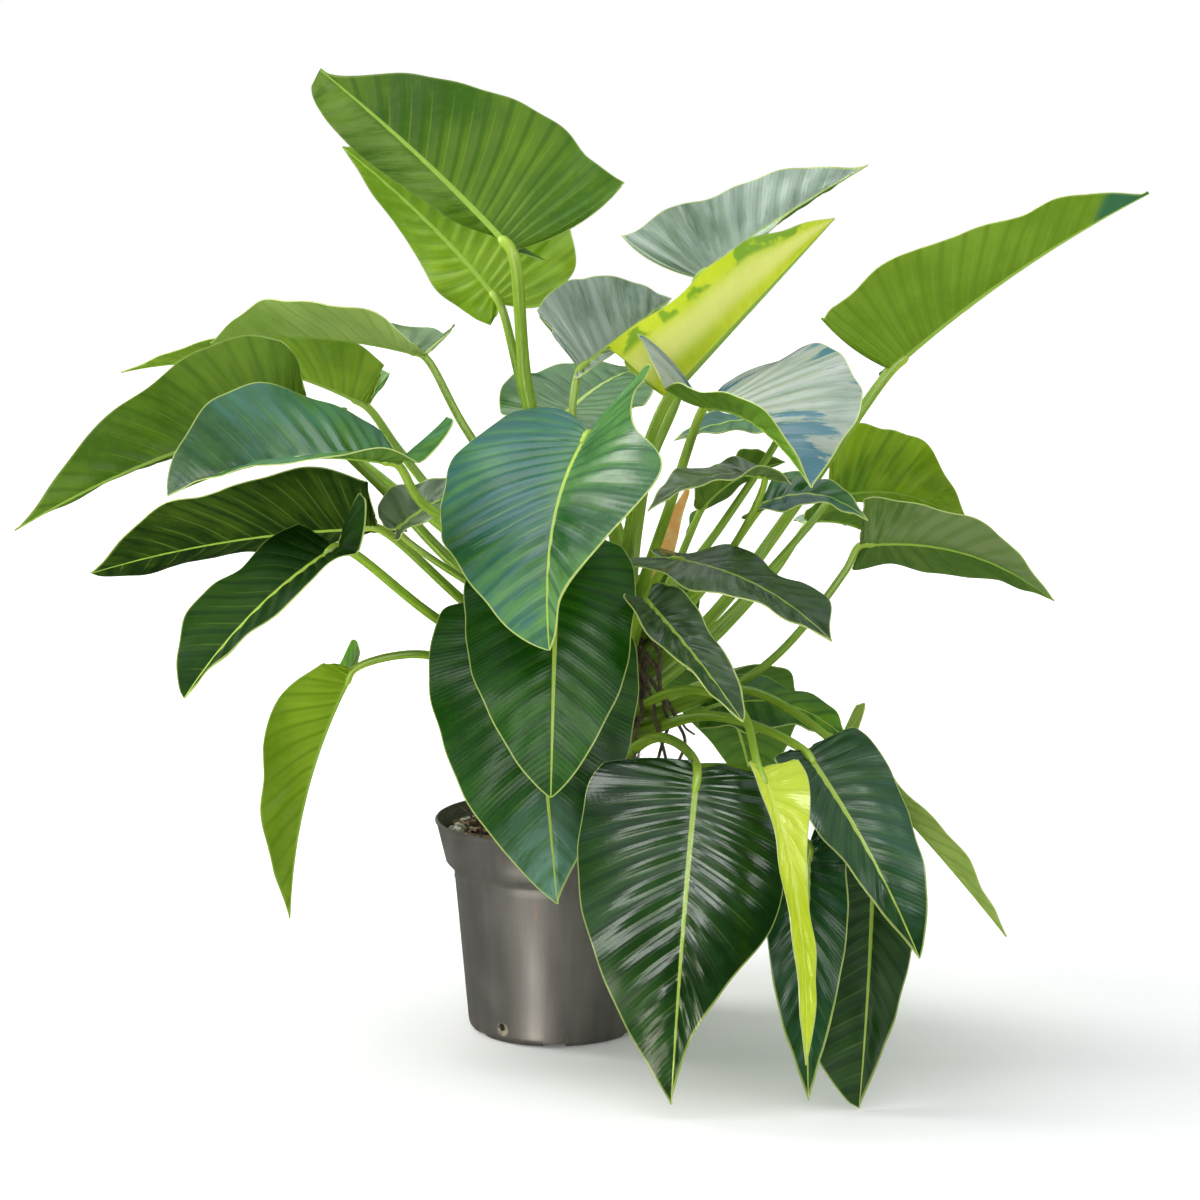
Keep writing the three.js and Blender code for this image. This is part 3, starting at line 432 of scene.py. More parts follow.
trunk = bmesh.new()
path = curve_through(TRUNK_PATH, TRUNK_RINGS)
girth = trunk_girth(path[:, 2])
ring = np.abs(np.sin(np.pi * path[:, 2] / SCAR_SPACING)) ** 3
bark = np.zeros((TRUNK_RINGS, TRUNK_SIDES + 1))
for row in range(TRUNK_RINGS):
    for column in range(TRUNK_SIDES + 1):
        angle = math.tau * (column % TRUNK_SIDES) / TRUNK_SIDES
        at = Vector((math.cos(angle) * 3.2, math.sin(angle) * 3.2, path[row][2] * 0.03))
        fine = Vector((math.cos(angle) * 11, math.sin(angle) * 11, path[row][2] * 0.11))
        bark[row, column] = BARK_WIDE * noise.noise(at) + BARK_FINE * noise.noise(fine)
tube_into(trunk, path, (girth - 0.5 + SCAR_HEIGHT * ring)[:, None] + bark, TRUNK_SIDES)
for root in ROOTS:
    bearing = math.radians(root["bearing"])
    out = np.array([math.cos(bearing), math.sin(bearing), 0])
    arch = trunk_axis((root["height"] + ROOT_FOOT) / 2) + out * (TRUNK_RADII[1] + root["reach"] * 0.4)
    foot = trunk_axis(ROOT_FOOT) + out * (TRUNK_RADII[1] + root["reach"])
    line = curve_through([trunk_axis(root["height"]), arch, foot], ROOT_RINGS)
    knots = np.array([noise.noise(Vector(point) * 0.09) for point in line])
    tube_into(trunk, line, root["radius"] * (1 + 0.16 * knots), ROOT_SIDES, 1)
for line in LOOSE_ROOTS:
    path = curve_through(line, LOOSE_ROOT_RINGS)
    path += np.array([noise.noise_vector(Vector(point) * 0.045) for point in path]) * 5
    tube_into(trunk, path, np.linspace(*LOOSE_ROOT_RADII, LOOSE_ROOT_RINGS), 8, 1)
for line in DEAD_ENDS:
    tube_into(trunk, curve_through(line, DEAD_END_RINGS), np.linspace(*DEAD_END_RADII, DEAD_END_RINGS), 6, 2)
draw = random.Random(5)
for count in range(FIBRE_COUNT):
    low = draw.uniform(*FIBRE_FEET)
    bearing = draw.random() * math.tau
    long = draw.uniform(*FIBRE_LENGTHS)
    lean = draw.uniform(-0.5, 0.5)
    line = []
    for share in (0, 0.33, 0.66, 1):
        at = low + long * share
        turn = bearing + lean * share
        reach = trunk_girth(at) + draw.uniform(*FIBRE_GAPS) + 3.0 * share**3
        line.append(trunk_axis(at) + np.array([math.cos(turn), math.sin(turn), 0]) * reach)
    thickness = draw.uniform(*FIBRE_RADII) * np.linspace(1, FIBRE_END, FIBRE_RINGS)
    tube_into(trunk, curve_through(line, FIBRE_RINGS), thickness, 5, 2 + count % 2)


def fibre_finish(name, dark, pale, stretch, height):
    """A fibrous plant surface: two colours in streaks that run along the piece."""
    made, tree, shader = finish(name, Roughness=0.9)
    spot = object_point(tree)
    streaks = speckle(tree, scaled(tree, spot, stretch), 1.0, 6.0, 0.7)
    blotch = speckle(tree, spot, 55.0, 3.0)
    colour = mixed(tree, step(tree, streaks, 0.35, 0.68), dark, pale)
    colour = mixed(tree, step(tree, blotch, 0.5, 0.75, 0.0, 0.5), colour, dark)
    paint(tree, shader, colour, None, streaks, height, 0.9)
    return made


trunk_bark = fibre_finish("trunk_bark", (0.03, 0.021, 0.012), (0.17, 0.12, 0.06), (420, 420, 130), 0.002)
root_skin = fibre_finish("root_skin", (0.06, 0.04, 0.022), (0.2, 0.15, 0.09), (300, 300, 60), 0.0008)
dark_fibre = fibre_finish("dark_fibre", (0.025, 0.016, 0.01), (0.1, 0.062, 0.03), (500, 500, 60), 0.0004)
pale_fibre = fibre_finish("pale_fibre", (0.14, 0.1, 0.06), (0.5, 0.44, 0.34), (500, 500, 60), 0.0004)
piece("woody_trunk", trunk, [trunk_bark, root_skin, dark_fibre, pale_fibre], "trunk")

# The dried sheath: the papery cover of an old leaf bud, gone orange-tan. It still grows from the
# trunk's top, as a thin trough that narrows to a ragged point and lets some light through.
SHEATH_PATH = [[68, 6, 440], [92, 4, 452], [107, -8, 474], [114, -22, 498], [120, -30, 522], [131, -38, 549]]
SHEATH_WIDTHS = [10, 13, 15, 15, 12, 5]
SHEATH_SIDE = (0.94, -0.34, 0)
SHEATH_LENGTH = 110
SHEATH_HALF_THICKNESS = 0.45
SHEATH_ROWS = 60
SHEATH_COLUMNS = 12
SHEATH_BEND = 1.6
SHEATH_CRUMPLE = 0.5
SHEATH_DARK = (1.0, 0.53, 0.21)
SHEATH_PALE = (1.0, 0.72, 0.38)


def sheet_into(bm, middle, normals, above, below, values, materials):
    """Adds a thin closed sheet on a grid of points: its two faces lie above and below the middle."""
    rows, columns = middle.shape[0] - 1, middle.shape[1] - 1
    kept = layers(bm)
    loops = []
    for offset, material in ((above, materials[0]), (below, materials[1])):
        places = (middle + normals * offset[..., None]) * MM
        verts = bmesh.ops.create_grid(bm, x_segments=columns, y_segments=rows, size=1)["verts"]
        for vert in verts:
            j = round((vert.co.x + 1) / 2 * columns)
            i = round((vert.co.y + 1) / 2 * rows)
            vert.co = places[i, j]
            for layer, value in zip(kept, values):
                vert[layer] = value[i, j]
        faces = {face for vert in verts for face in vert.link_faces}
        for face in faces:
            face.material_index = material
        loops += [edge for edge in {edge for face in faces for edge in face.edges} if edge.is_boundary]
    for face in bmesh.ops.bridge_loops(bm, edges=loops)["faces"]:
        face.material_index = materials[2]
    for edge in loops:
        edge.smooth = False


path = curve_through(SHEATH_PATH, SHEATH_ROWS + 1)
ahead = unit(np.gradient(path, axis=0))
side = unit(np.array(SHEATH_SIDE) - ahead * (ahead @ np.array(SHEATH_SIDE))[:, None])
thin = np.cross(side, ahead)
share = np.linspace(0, 1, SHEATH_ROWS + 1)
width = through(np.linspace(0, 1, len(SHEATH_WIDTHS)), SHEATH_WIDTHS, share)
across = np.linspace(-1, 1, SHEATH_COLUMNS + 1)
ragged = np.array([[noise.noise(Vector((row * 0.35, place * 0.6, 7))) for place in across]
                   for row in range(SHEATH_ROWS + 1)])
middle = path[:, None, :] + side[:, None, :] * (across[None, :, None] * (width / 2)[:, None, None])
middle += thin[:, None, :] * (SHEATH_BEND * across**2 - SHEATH_BEND / 2)[None, :, None]
middle += thin[:, None, :] * (SHEATH_CRUMPLE * ragged)[..., None]
normals = np.broadcast_to(thin[:, None, :], middle.shape)
half = np.full(middle.shape[:2], SHEATH_HALF_THICKNESS)
nothing = np.zeros(middle.shape[:2])
sheath = bmesh.new()
sheet_into(sheath, middle, normals, half, -half,
           (np.broadcast_to(share[:, None] * SHEATH_LENGTH, half.shape), nothing, nothing,
            np.broadcast_to(across[None, :], half.shape)), (0, 0, 0))
bmesh.ops.recalc_face_normals(sheath, faces=sheath.faces)
dry_sheath, tree, shader = finish("dry_sheath", Roughness=0.75, Subsurface_Weight=0.5,
                                  Subsurface_Scale=0.012)
spot = object_point(tree)
paper = mixed(tree, step(tree, speckle(tree, spot, 90.0, 4.0), 0.3, 0.75), SHEATH_DARK, SHEATH_PALE)
paint(tree, shader, paper, None, speckle(tree, scaled(tree, spot, (700, 700, 60)), 1.0), 0.0006, 0.7)
piece("papery_sheath", sheath, [dry_sheath], "dried_sheath")

# The leaves: heart-shaped blades up to 34 cm long on long round stalks that leave the trunk in turn.
# Each blade is one closed sheet with a thick pale midrib, furrows along its side veins and a thin
# pale margin. The upper side is dark and waxy. The underside is more matt and lighter, partly in its
# own paler green and partly from painted light that stands in for light shining through the blade.

# In these tables a pair holds the left and the right half of a blade, seen from above with the tip
# ahead. Lengths are in millimetres and angles in degrees. Base and tip are the midrib's ends, and
# face is where the upper side looks. Fold lifts a half, curl rolls it, lobe drops what lies behind
# the base, and ear is how far that reaches. Blunt and corner shape the outline, and trim narrows or
# widens it at its stations. Root is the height at which the stalk leaves the trunk, via holds points
# that it passes, and radius is its thickness at the trunk and at the blade.
LEAF_DEFAULTS = dict(arch=20, skew=0.5, sway=0, width=[190, 190], fold=[15, 15], curl=[0, 0], lobe=[0, 0],
                     ear=[1, 1], blunt=[1, 1], radius=[5, 3.5], via=[])
FULL = [1] * 8
LEAVES = {
    "leaf_top_1": dict(base=[-40, -30, 780], tip=[-230, 40, 955], face=[0.35, 1, 0.1], arch=15,
        width=[226, 130], fold=[10, 85], fold_tip=[15, -5], ear=[1.25, 0], blunt=[1.5, 0.3],
        corner=[0.2, 2],
        trim=[[1.3, 1.24, 1.06, 1, 1.04, 1.15, 1.45, 1.2], [0.3, 0.75, 1.1, 1.15, 1.05, 0.95, 0.88, 0.9]],
        root=421, via=[[12, -3, 512], [-26, 0, 640]], radius=[8, 5.5], look="leafy"),
    "leaf_top_2": dict(base=[-55, 60, 725], tip=[-218, 150, 880], face=[0.3, 1, 0.3], arch=15,
        width=[215, 100], fold=[20, 10], ear=[1.25, 0], trim=[FULL, [0.1, 0.35, 0.72, 0.95, 1, 1, 1, 1]],
        root=409, via=[[20, 48, 495], [-25, 58, 610]], radius=[6, 4], look="bright"),
    "leaf_left_1": dict(base=[-130, 30, 675], tip=[-345, 60, 685], face=[0, 0, 1], arch=12,
        width=[180, 180], fold=[12, 8], fold_tip=[58, 25], lobe=[0, 60], ear=[0.3, 1.2],
        trim=[FULL, [0.55, 0.8, 1, 1, 1, 1, 1, 1]], root=394, via=[[0, 14, 476], [-90, 26, 605]],
        radius=[6, 3.5], look="pale"),
    "leaf_left_2": dict(base=[-195, 140, 615], tip=[-450, 150, 650], face=[0, 0.1, 1], arch=25,
        width=[160, 110], fold=[40, 45], fold_tip=[10, 5], ear=[0, 0], root=384,
        via=[[-70, 88, 470], [-160, 122, 570]], radius=[6, 4], look="bright"),
    "leaf_left_3": dict(base=[-245, -50, 620], tip=[-519, -80, 514], face=[-0.1, 0.7, 0.7], arch=18,
        width=[170, 190], fold=[35, 40], ear=[0.3, 1], blunt=[1.3, 1], root=372,
        via=[[-80, -5, 455], [-180, -20, 560]], radius=[7, 4], look="mid"),
    "leaf_left_4": dict(base=[-145, -150, 585], tip=[-355, -190, 560], face=[0, -0.25, 1],
        width=[190, 215], fold=[27, 0], fold_tip=[20, 68], curl=[-10, -10], lobe=[60, 0], ear=[2.1, 0.1],
        blunt=[1, 0.7], corner=[1.6, 0.7], root=389, via=[[-40, -85, 490], [-124, -134, 548]],
        radius=[6, 4], look="jade"),
    "leaf_left_5": dict(base=[-170, -70, 515], tip=[-450, -60, 470], face=[0, 0.2, 1], arch=10,
        width=[205, 190], fold=[25, 0], fold_tip=[25, -10], ear=[0, 0.6], blunt=[1, 0.45],
        corner=[1.5, 1], trim=[[1, 1, 1, 1.05, 1.15, 1.3, 1.3, 1], FULL], root=345, via=[[-60, -32, 415]],
        radius=[6, 4], look="olive"),
    "leaf_left_6": dict(base=[-200, -170, 510], tip=[-335, -250, 380], face=[-0.3, -0.6, 0.8], arch=15,
        width=[70, 135], fold=[15, -5], fold_tip=[15, 10], lobe=[60, 0], ear=[2.1, 0], blunt=[1, 0.6],
        corner=[1, 3], trim=[[1, 1, 1, 1, 0.9, 0.8, 0.8, 1], [1, 1, 1, 1, 1, 1.1, 1.2, 1]], root=327,
        via=[[-100, -82, 420]], radius=[6, 4], look="dull"),
    "leaf_left_7": dict(base=[-148, -100, 517], tip=[-64, -72, 552], face=[-0.5, -0.7, 0.8], arch=12,
        width=[70, 52], fold=[20, 20], ear=[0.6, 0.6], root=374, via=[[-50, -85, 445]], radius=[5, 3],
        look="grey"),
    "leaf_left_8": dict(base=[-195, -60, 375], tip=[-260, -80, 130], face=[-0.5, 0.5, 0.4],
        width=[145, 130], fold=[10, 50], ear=[0, 0.4], blunt=[1.1, 1], corner=[3, 1],
        trim=[[0.5, 0.5, 0.7, 0.95, 1, 1, 1, 1], FULL], root=308, via=[[-50, -22, 352], [-130, -50, 388]],
        radius=[6, 3.5], look="bright"),
    "leaf_front_1": dict(base=[35, -110, 610], tip=[0, -310, 435], face=[-0.15, -0.65, 0.76], sway=12,
        width=[185, 270], fold=[48, -5], fold_tip=[15, -5], curl=[0, -20], ear=[2.2, 1.9],
        blunt=[0.8, 0.75], corner=[0.6, 0.25],
        trim=[[0.85, 0.8, 0.82, 1.02, 1.5, 0.95, 0.35, 0.6], [0.85, 0.95, 1.02, 1, 0.95, 0.88, 0.85, 1]],
        root=393, via=[[60, -75, 500]], radius=[7, 4], look="teal"),
    "leaf_front_2": dict(base=[5, -150, 495], tip=[0, -260, 290], face=[0, -0.9, 0.4], width=[150, 175],
        fold=[0, 0], curl=[-20, -20], blunt=[0.75, 0.75], root=336, radius=[7, 4], look="deep"),
    "leaf_front_3": dict(base=[-20, -130, 430], tip=[5, -200, 175], face=[0, -0.9, 0.4], width=[195, 205],
        fold=[0, 0], curl=[-20, -20], blunt=[1.2, 0.85], root=278, radius=[7, 4], look="glazed"),
    "leaf_low_1": dict(base=[135, -230, 310], tip=[110, -310, 15], face=[-0.1, -0.9, 0.3],
        width=[170, 212], fold=[5, 5], curl=[-40, -20], lobe=[-60, -30], ear=[0.5, 0.3], blunt=[1.4, 1],
        corner=[1.4, 3.2],
        trim=[[1, 1, 1, 1.08, 1.15, 0.88, 0.62, 0.8], [0.6, 0.78, 0.95, 1, 1, 1, 1, 1]], root=262,
        via=[[100, -85, 312]], radius=[6, 4], look="dark"),
    "leaf_low_2": dict(base=[189, -284, 322], tip=[230, -345, 63], face=[0.5, -0.8, 0.2], arch=26,
        skew=0.4, width=[90, 90], fold=[10, 20], ear=[0, 0.2],
        trim=[[0.8, 0.9, 0.92, 0.62, 0.34, 0.44, 0.6, 1], [0.3, 0.3, 0.26, 0.24, 0.42, 0.45, 0.6, 1]],
        root=313, via=[[120, -68, 355], [175, -185, 360]], look="lime"),
    "leaf_low_3": dict(base=[236, -205, 322], tip=[337, -285, 145], face=[0.1, -0.8, 0.5],
        width=[118, 70], fold=[15, 15], curl=[-30, -10], ear=[0, 0.2], blunt=[0.8, 1], corner=[1.8, 1],
        root=288, via=[[150, -78, 332]], radius=[6, 4], look="marine"),
    "leaf_low_4": dict(base=[275, -120, 310], tip=[435, -150, 130], face=[0.7, 0.3, 0.6], arch=4,
        width=[110, 100], fold=[20, 20], lobe=[0, 60], ear=[0.3, 1.1],
        trim=[[0.8, 0.8, 0.8, 0.75, 0.9, 1, 1, 1], [1, 0.9, 0.7, 0.65, 0.75, 0.85, 1, 1]], root=303,
        via=[[185, -48, 352]], radius=[6, 3.5], look="pale"),
    "leaf_low_5": dict(base=[160, -20, 330], tip=[290, -50, 300], face=[0, 0.3, 1], width=[190, 130],
        fold=[20, -30], root=272, look="meadow"),
    "leaf_low_6": dict(base=[240, -216, 235], tip=[237, -284, 10], face=[-0.2, -0.9, 0.3], arch=10,
        width=[80, 80], fold=[15, 15], root=232, via=[[120, -105, 262]], look="marine"),
    "leaf_low_7": dict(base=[307, -140, 209], tip=[284, -280, 2], face=[0.1, -0.9, 0.3], arch=10,
        width=[85, 110], fold=[15, 15], blunt=[1, 0.5], trim=[FULL, [1, 1, 1, 1, 1, 1.25, 1.5, 1.2]],
        root=250, via=[[190, -70, 275]], look="satin"),
    "leaf_right_1": dict(base=[88, -175, 459], tip=[174, -285, 365], face=[0.2, -0.6, 0.7], arch=5,
        width=[60, 60], fold=[20, 20], ear=[0.5, 0.2], blunt=[0.6, 0.8], root=322, look="ash"),
    "leaf_right_2": dict(base=[115, -110, 490], tip=[260, -200, 425], face=[0.1, 0, 1], arch=15,
        width=[130, 110], fold=[5, -10], ear=[1.6, 1.8], trim=[[1, 1, 1.1, 1.1, 1.15, 1.5, 2, 1.5], FULL],
        root=366, radius=[6, 3.5], look="ash"),
    "leaf_right_3": dict(base=[305, 30, 485], tip=[495, -10, 435], face=[0, 0.8, 1], arch=25,
        width=[140, 160], fold=[10, 0], ear=[0, 0], corner=[1.6, 1], root=300,
        via=[[205, 4, 364], [290, 22, 460]], look="sage"),
    "leaf_right_4": dict(base=[268, 215, 487], tip=[346, 230, 464], face=[0, 0.3, 1], arch=8,
        width=[64, 64], fold=[20, 20], root=318, via=[[160, 120, 372], [232, 190, 439]], radius=[5, 3],
        look="silver"),
    "leaf_right_5": dict(base=[335, 40, 660], tip=[580, 0, 835], face=[-0.4, 0.8, 0.5], arch=14,
        width=[60, 205], fold=[60, 5], ear=[0.3, 0.5], blunt=[1, 1.4], corner=[1, 0.1],
        trim=[FULL, [1.1, 1.1, 1.03, 1.06, 0.93, 0.98, 1.75, 3]], root=345,
        via=[[150, 6, 410], [249, 20, 540]], radius=[7, 5], look="fresh"),
    "leaf_right_6": dict(base=[145, -66, 631], tip=[235, -266, 576], face=[0.2, -0.5, 0.8],
        width=[250, 92], fold=[26, 20], fold_tip=[5, 90], lobe=[0, 50], ear=[1.3, 2.9], blunt=[1, 1.3],
        corner=[1, 0.1], trim=[[1, 1, 1, 1, 1.05, 1.05, 1, 1], FULL], root=404, via=[[110, -45, 525]],
        radius=[6, 4], look="frosted"),
    "leaf_right_7": dict(base=[287, 145, 521], tip=[427, 125, 491], face=[0, 0.8, 0.8], arch=25,
        width=[70, 214], fold=[10, 0], ear=[0.5, 0.5], root=330, via=[[160, 60, 395], [262, 125, 495]],
        look="sunny"),
    "leaf_right_8": dict(base=[205, -30, 532], tip=[305, -60, 521], face=[0, -0.4, 1], width=[72, 72],
        fold=[10, 10], root=366, via=[[140, -24, 440]], radius=[5, 3], look="teal"),
    "leaf_back_1": dict(base=[143, 60, 750], tip=[314, 95, 862], face=[-0.1, -0.85, 0.5], arch=8,
        width=[130, 40], fold=[0, 60], ear=[1.25, 0], blunt=[1.3, 1], corner=[0, 1],
        trim=[[1.5, 1.5, 1.3, 0.98, 1.05, 1.2, 1.3, 1], FULL], root=408,
        via=[[82, 30, 500], [94, 26, 566], [124, 40, 640]], radius=[6, 4.5], look="silver"),
    "leaf_back_2": dict(base=[25, -20, 665], tip=[118, 125, 727], face=[0.4, -0.75, 0.4], arch=15,
        width=[150, 20], fold=[5, 30], ear=[0, 0.5], blunt=[1.2, 1], corner=[0.8, 1], root=404,
        via=[[40, -36, 490], [18, -34, 600]], look="silver"),
    "leaf_back_3": dict(base=[5, 110, 605], tip=[90, 270, 645], face=[0, -0.3, 1], arch=10,
        width=[150, 150], fold=[10, 10], root=392, via=[[64, 84, 495]], radius=[6, 4], look="mid"),
    "leaf_back_4": dict(base=[235, 130, 600], tip=[120, 60, 588], face=[0, -0.3, 1], arch=10,
        width=[100, 70], fold=[10, 0], root=390, via=[[170, 88, 500]], look="teal"),
    "leaf_back_5": dict(base=[150, 120, 512], tip=[238, 170, 555], face=[0, 0.8, 1], arch=10,
        width=[100, 100], fold=[10, 10], root=364, via=[[115, 75, 440]], look="mid"),
    "leaf_back_6": dict(base=[203, -85, 566], tip=[90, -150, 541], face=[0, -0.05, 1], arch=15,
        width=[70, 80], fold=[10, 10], root=386, via=[[165, -52, 480]], radius=[5, 3], look="grey"),
    "leaf_rolled": dict(base=[111, -23, 636], tip=[276, 30, 810], face=[-0.5, 0.3, 0.7], arch=0,
        width=[130, 172], fold=[60, 60], curl=[60, 60], ear=[0, 0], blunt=[1, 0.9], corner=[1, 0.5],
        trim=[FULL, [1, 1, 0.92, 0.82, 0.8, 0.85, 0.9, 1]], root=440, via=[[76, -9, 515], [87, -16, 575]],
        radius=[6, 5], look="young"),
    "leaf_back_7": dict(base=[-30, 130, 512], tip=[-60, 350, 410], face=[0, 0.4, 1], arch=30,
        width=[170, 170], fold=[12, 12], root=334, via=[[38, 70, 395]], radius=[7, 4], look="deep"),
    "leaf_back_8": dict(base=[55, 130, 420], tip=[60, 300, 190], face=[0, 0.9, 0.4], arch=25,
        width=[190, 190], fold=[12, 12], root=298, via=[[62, 78, 365]], radius=[7, 4], look="deep"),
    "leaf_back_9": dict(base=[160, 130, 330], tip=[215, 300, 170], face=[0.3, 0.8, 0.5], width=[160, 160],
        fold=[12, 12], root=280, radius=[7, 4], look="deep"),
    "leaf_back_10": dict(base=[-218, 200, 560], tip=[-378, 340, 561], face=[0, 0.1, 1], arch=12,
        width=[130, 130], fold=[8, 8], root=358, via=[[-50, 95, 440]], radius=[7, 4], look="teal"),
}
OUTLINE_STATIONS = [0, 0.12, 0.25, 0.4, 0.55, 0.7, 0.85, 1]
OUTLINE_OUT = [0.42, 0.81, 0.98, 1, 0.88, 0.64, 0.33, 0]
OUTLINE_ALONG = [-0.13, -0.1, 0.05, 0.25, 0.46, 0.66, 0.835, 1]
CORNER_END = 0.35
TIP_WIDTH_SHARE = 0.012
BLADE_THICKNESS = 1.1
BLADE_COLUMNS = 14
COLUMN_BUNCHING = 1.6
VEIN_SPACING = 16
VEIN_COUNTS = (6, 20)
VEIN_LAG = 2.1
EDGE_UNEVEN = 0.012
EDGE_CRIMP = 1.3
EDGE_WAVE = 6
EDGE_WAVES = 1.6
EDGE_PHASES = (0, 1.5)
BILLOW = 1.3
RIB_WIDTH_SHARE = 0.6
RIB_END = 0.5
RIB_ABOVE = 0.22
RIB_BELOW = 0.7
ROWS_FOR_VEIN = 6
STALK_RINGS = 40
STALK_SIDES = 16
STALK_RISE = 0.165
STALK_FLARE = 55
LEAF_SHARP_ANGLE = math.radians(60)


def smooth(value):
    """A soft step from 0 to 1."""
    t = np.clip(value, 0, 1)
    return t * t * (3 - 2 * t)


def midrib_at(leaf, t):
    """Points of the midrib, and the directions along it, out of the upper side and to the right."""
    base, tip = np.array(leaf["base"], float), np.array(leaf["tip"], float)
    chord = tip - base
    out = np.array(leaf["face"], float)
    out = unit(out - chord * (out @ chord) / (chord @ chord))
    knee = base + leaf["skew"] * chord + 2 * leaf["arch"] * out
    knee += 2 * leaf["sway"] * np.cross(unit(chord), out)
    t = np.asarray(t, float)[:, None]
    point = (1 - t) ** 2 * base + 2 * t * (1 - t) * knee + t**2 * tip
    along = unit((1 - t) * (knee - base) + t * (tip - knee))
    above = unit(out - along * (along @ out)[:, None])
    return point, along, above, np.cross(along, above)


def blade_at(leaf, length, a, b):
    """Points of a blade's middle: a runs from the basal lobe to the tip, b from margin to margin."""
    half_of = (b >= 0).astype(int)

    def of(key):
        return np.array(leaf[key], float)[half_of]

    sign = np.where(b < 0, -1.0, 1.0)
    half = of("width") / 2
    corner = np.array(leaf.get("corner", leaf["blunt"]), float)[half_of]
    power = corner + (of("blunt") - corner) * smooth(a / CORNER_END)
    share = np.maximum(through(OUTLINE_STATIONS, OUTLINE_OUT, a), 0) ** power
    edge_out = np.maximum(share, TIP_WIDTH_SHARE) * half
    if "trim" in leaf:
        left, right = (through(OUTLINE_STATIONS, shares, a) for shares in leaf["trim"])
        edge_out = edge_out * np.where(half_of == 0, left, right)
    uneven = np.sin(19 * a + leaf["root"]) + 0.6 * np.sin(43 * a + 2 * leaf["root"] + sign)
    edge_out = edge_out * (1 + EDGE_UNEVEN * uneven)
    station = through(OUTLINE_STATIONS, OUTLINE_ALONG, a)
    edge_along = np.where(station < 0, station * of("ear"), station) * length
    start = a**VEIN_LAG * length
    rise = 1 - 0.6 * smooth(a / 0.25)
    q = np.abs(b)
    out = q * edge_out
    middle = start + rise * (edge_along - start)
    y = (1 - q) ** 2 * start + 2 * q * (1 - q) * middle + q * q * edge_along
    t = np.clip(y / length, 0, 1)
    point, along, above, right = midrib_at(leaf, t)
    back = np.minimum(y, 0)
    lobe = np.radians(of("lobe"))
    point = point + along * (back * np.cos(lobe))[:, None] - above * (back * np.sin(lobe))[:, None]
    tip_fold = np.array(leaf.get("fold_tip", leaf["fold"]), float)[half_of]
    fold = np.radians(of("fold") + (tip_fold - of("fold")) * t)
    bend = np.radians(np.where(of("curl") == 0, 1e-4, of("curl"))) / half
    reach = (np.sin(fold + bend * out) - np.sin(fold)) / bend
    swell = np.sin(math.tau * EDGE_WAVES * y / length + np.where(b < 0, *EDGE_PHASES))
    crimp = EDGE_CRIMP * np.sin(33 * a + leaf["root"] + 2 * sign) * q**3
    ripple = (EDGE_WAVE * (out / half) ** 2 * swell + crimp) * smooth((1 - a) / 0.15)
    lift = (np.cos(fold) - np.cos(fold + bend * out)) / bend + ripple
    return point + right * (sign * reach)[:, None] + above * lift[:, None], out, edge_out, t


def stalk_path(leaf):
    """The stalk's middle line, from inside the trunk to a little way under the blade."""
    start = trunk_axis(leaf["root"])
    point, along, _, _ = midrib_at(leaf, [0, 0.07])
    if leaf["via"]:
        return curve_through([start, *leaf["via"], point[0], point[1]], STALK_RINGS)
    chord = point[0] - start
    reach = np.linalg.norm(chord)
    first = start + chord * 0.2 + np.array([0, 0, STALK_RISE * reach])
    second = point[0] - along[0] * 0.08 * reach - chord * 0.12
    t = np.linspace(0, 1, STALK_RINGS - 3)[:, None]
    bend = (1 - t) ** 3 * start + 3 * t * (1 - t) ** 2 * first
    bend = bend + 3 * t * t * (1 - t) * second + t**3 * point[0]
    last = point[0] + (point[1] - point[0]) * np.array([[0.33], [0.66], [1]])
    return np.vstack([bend, last])


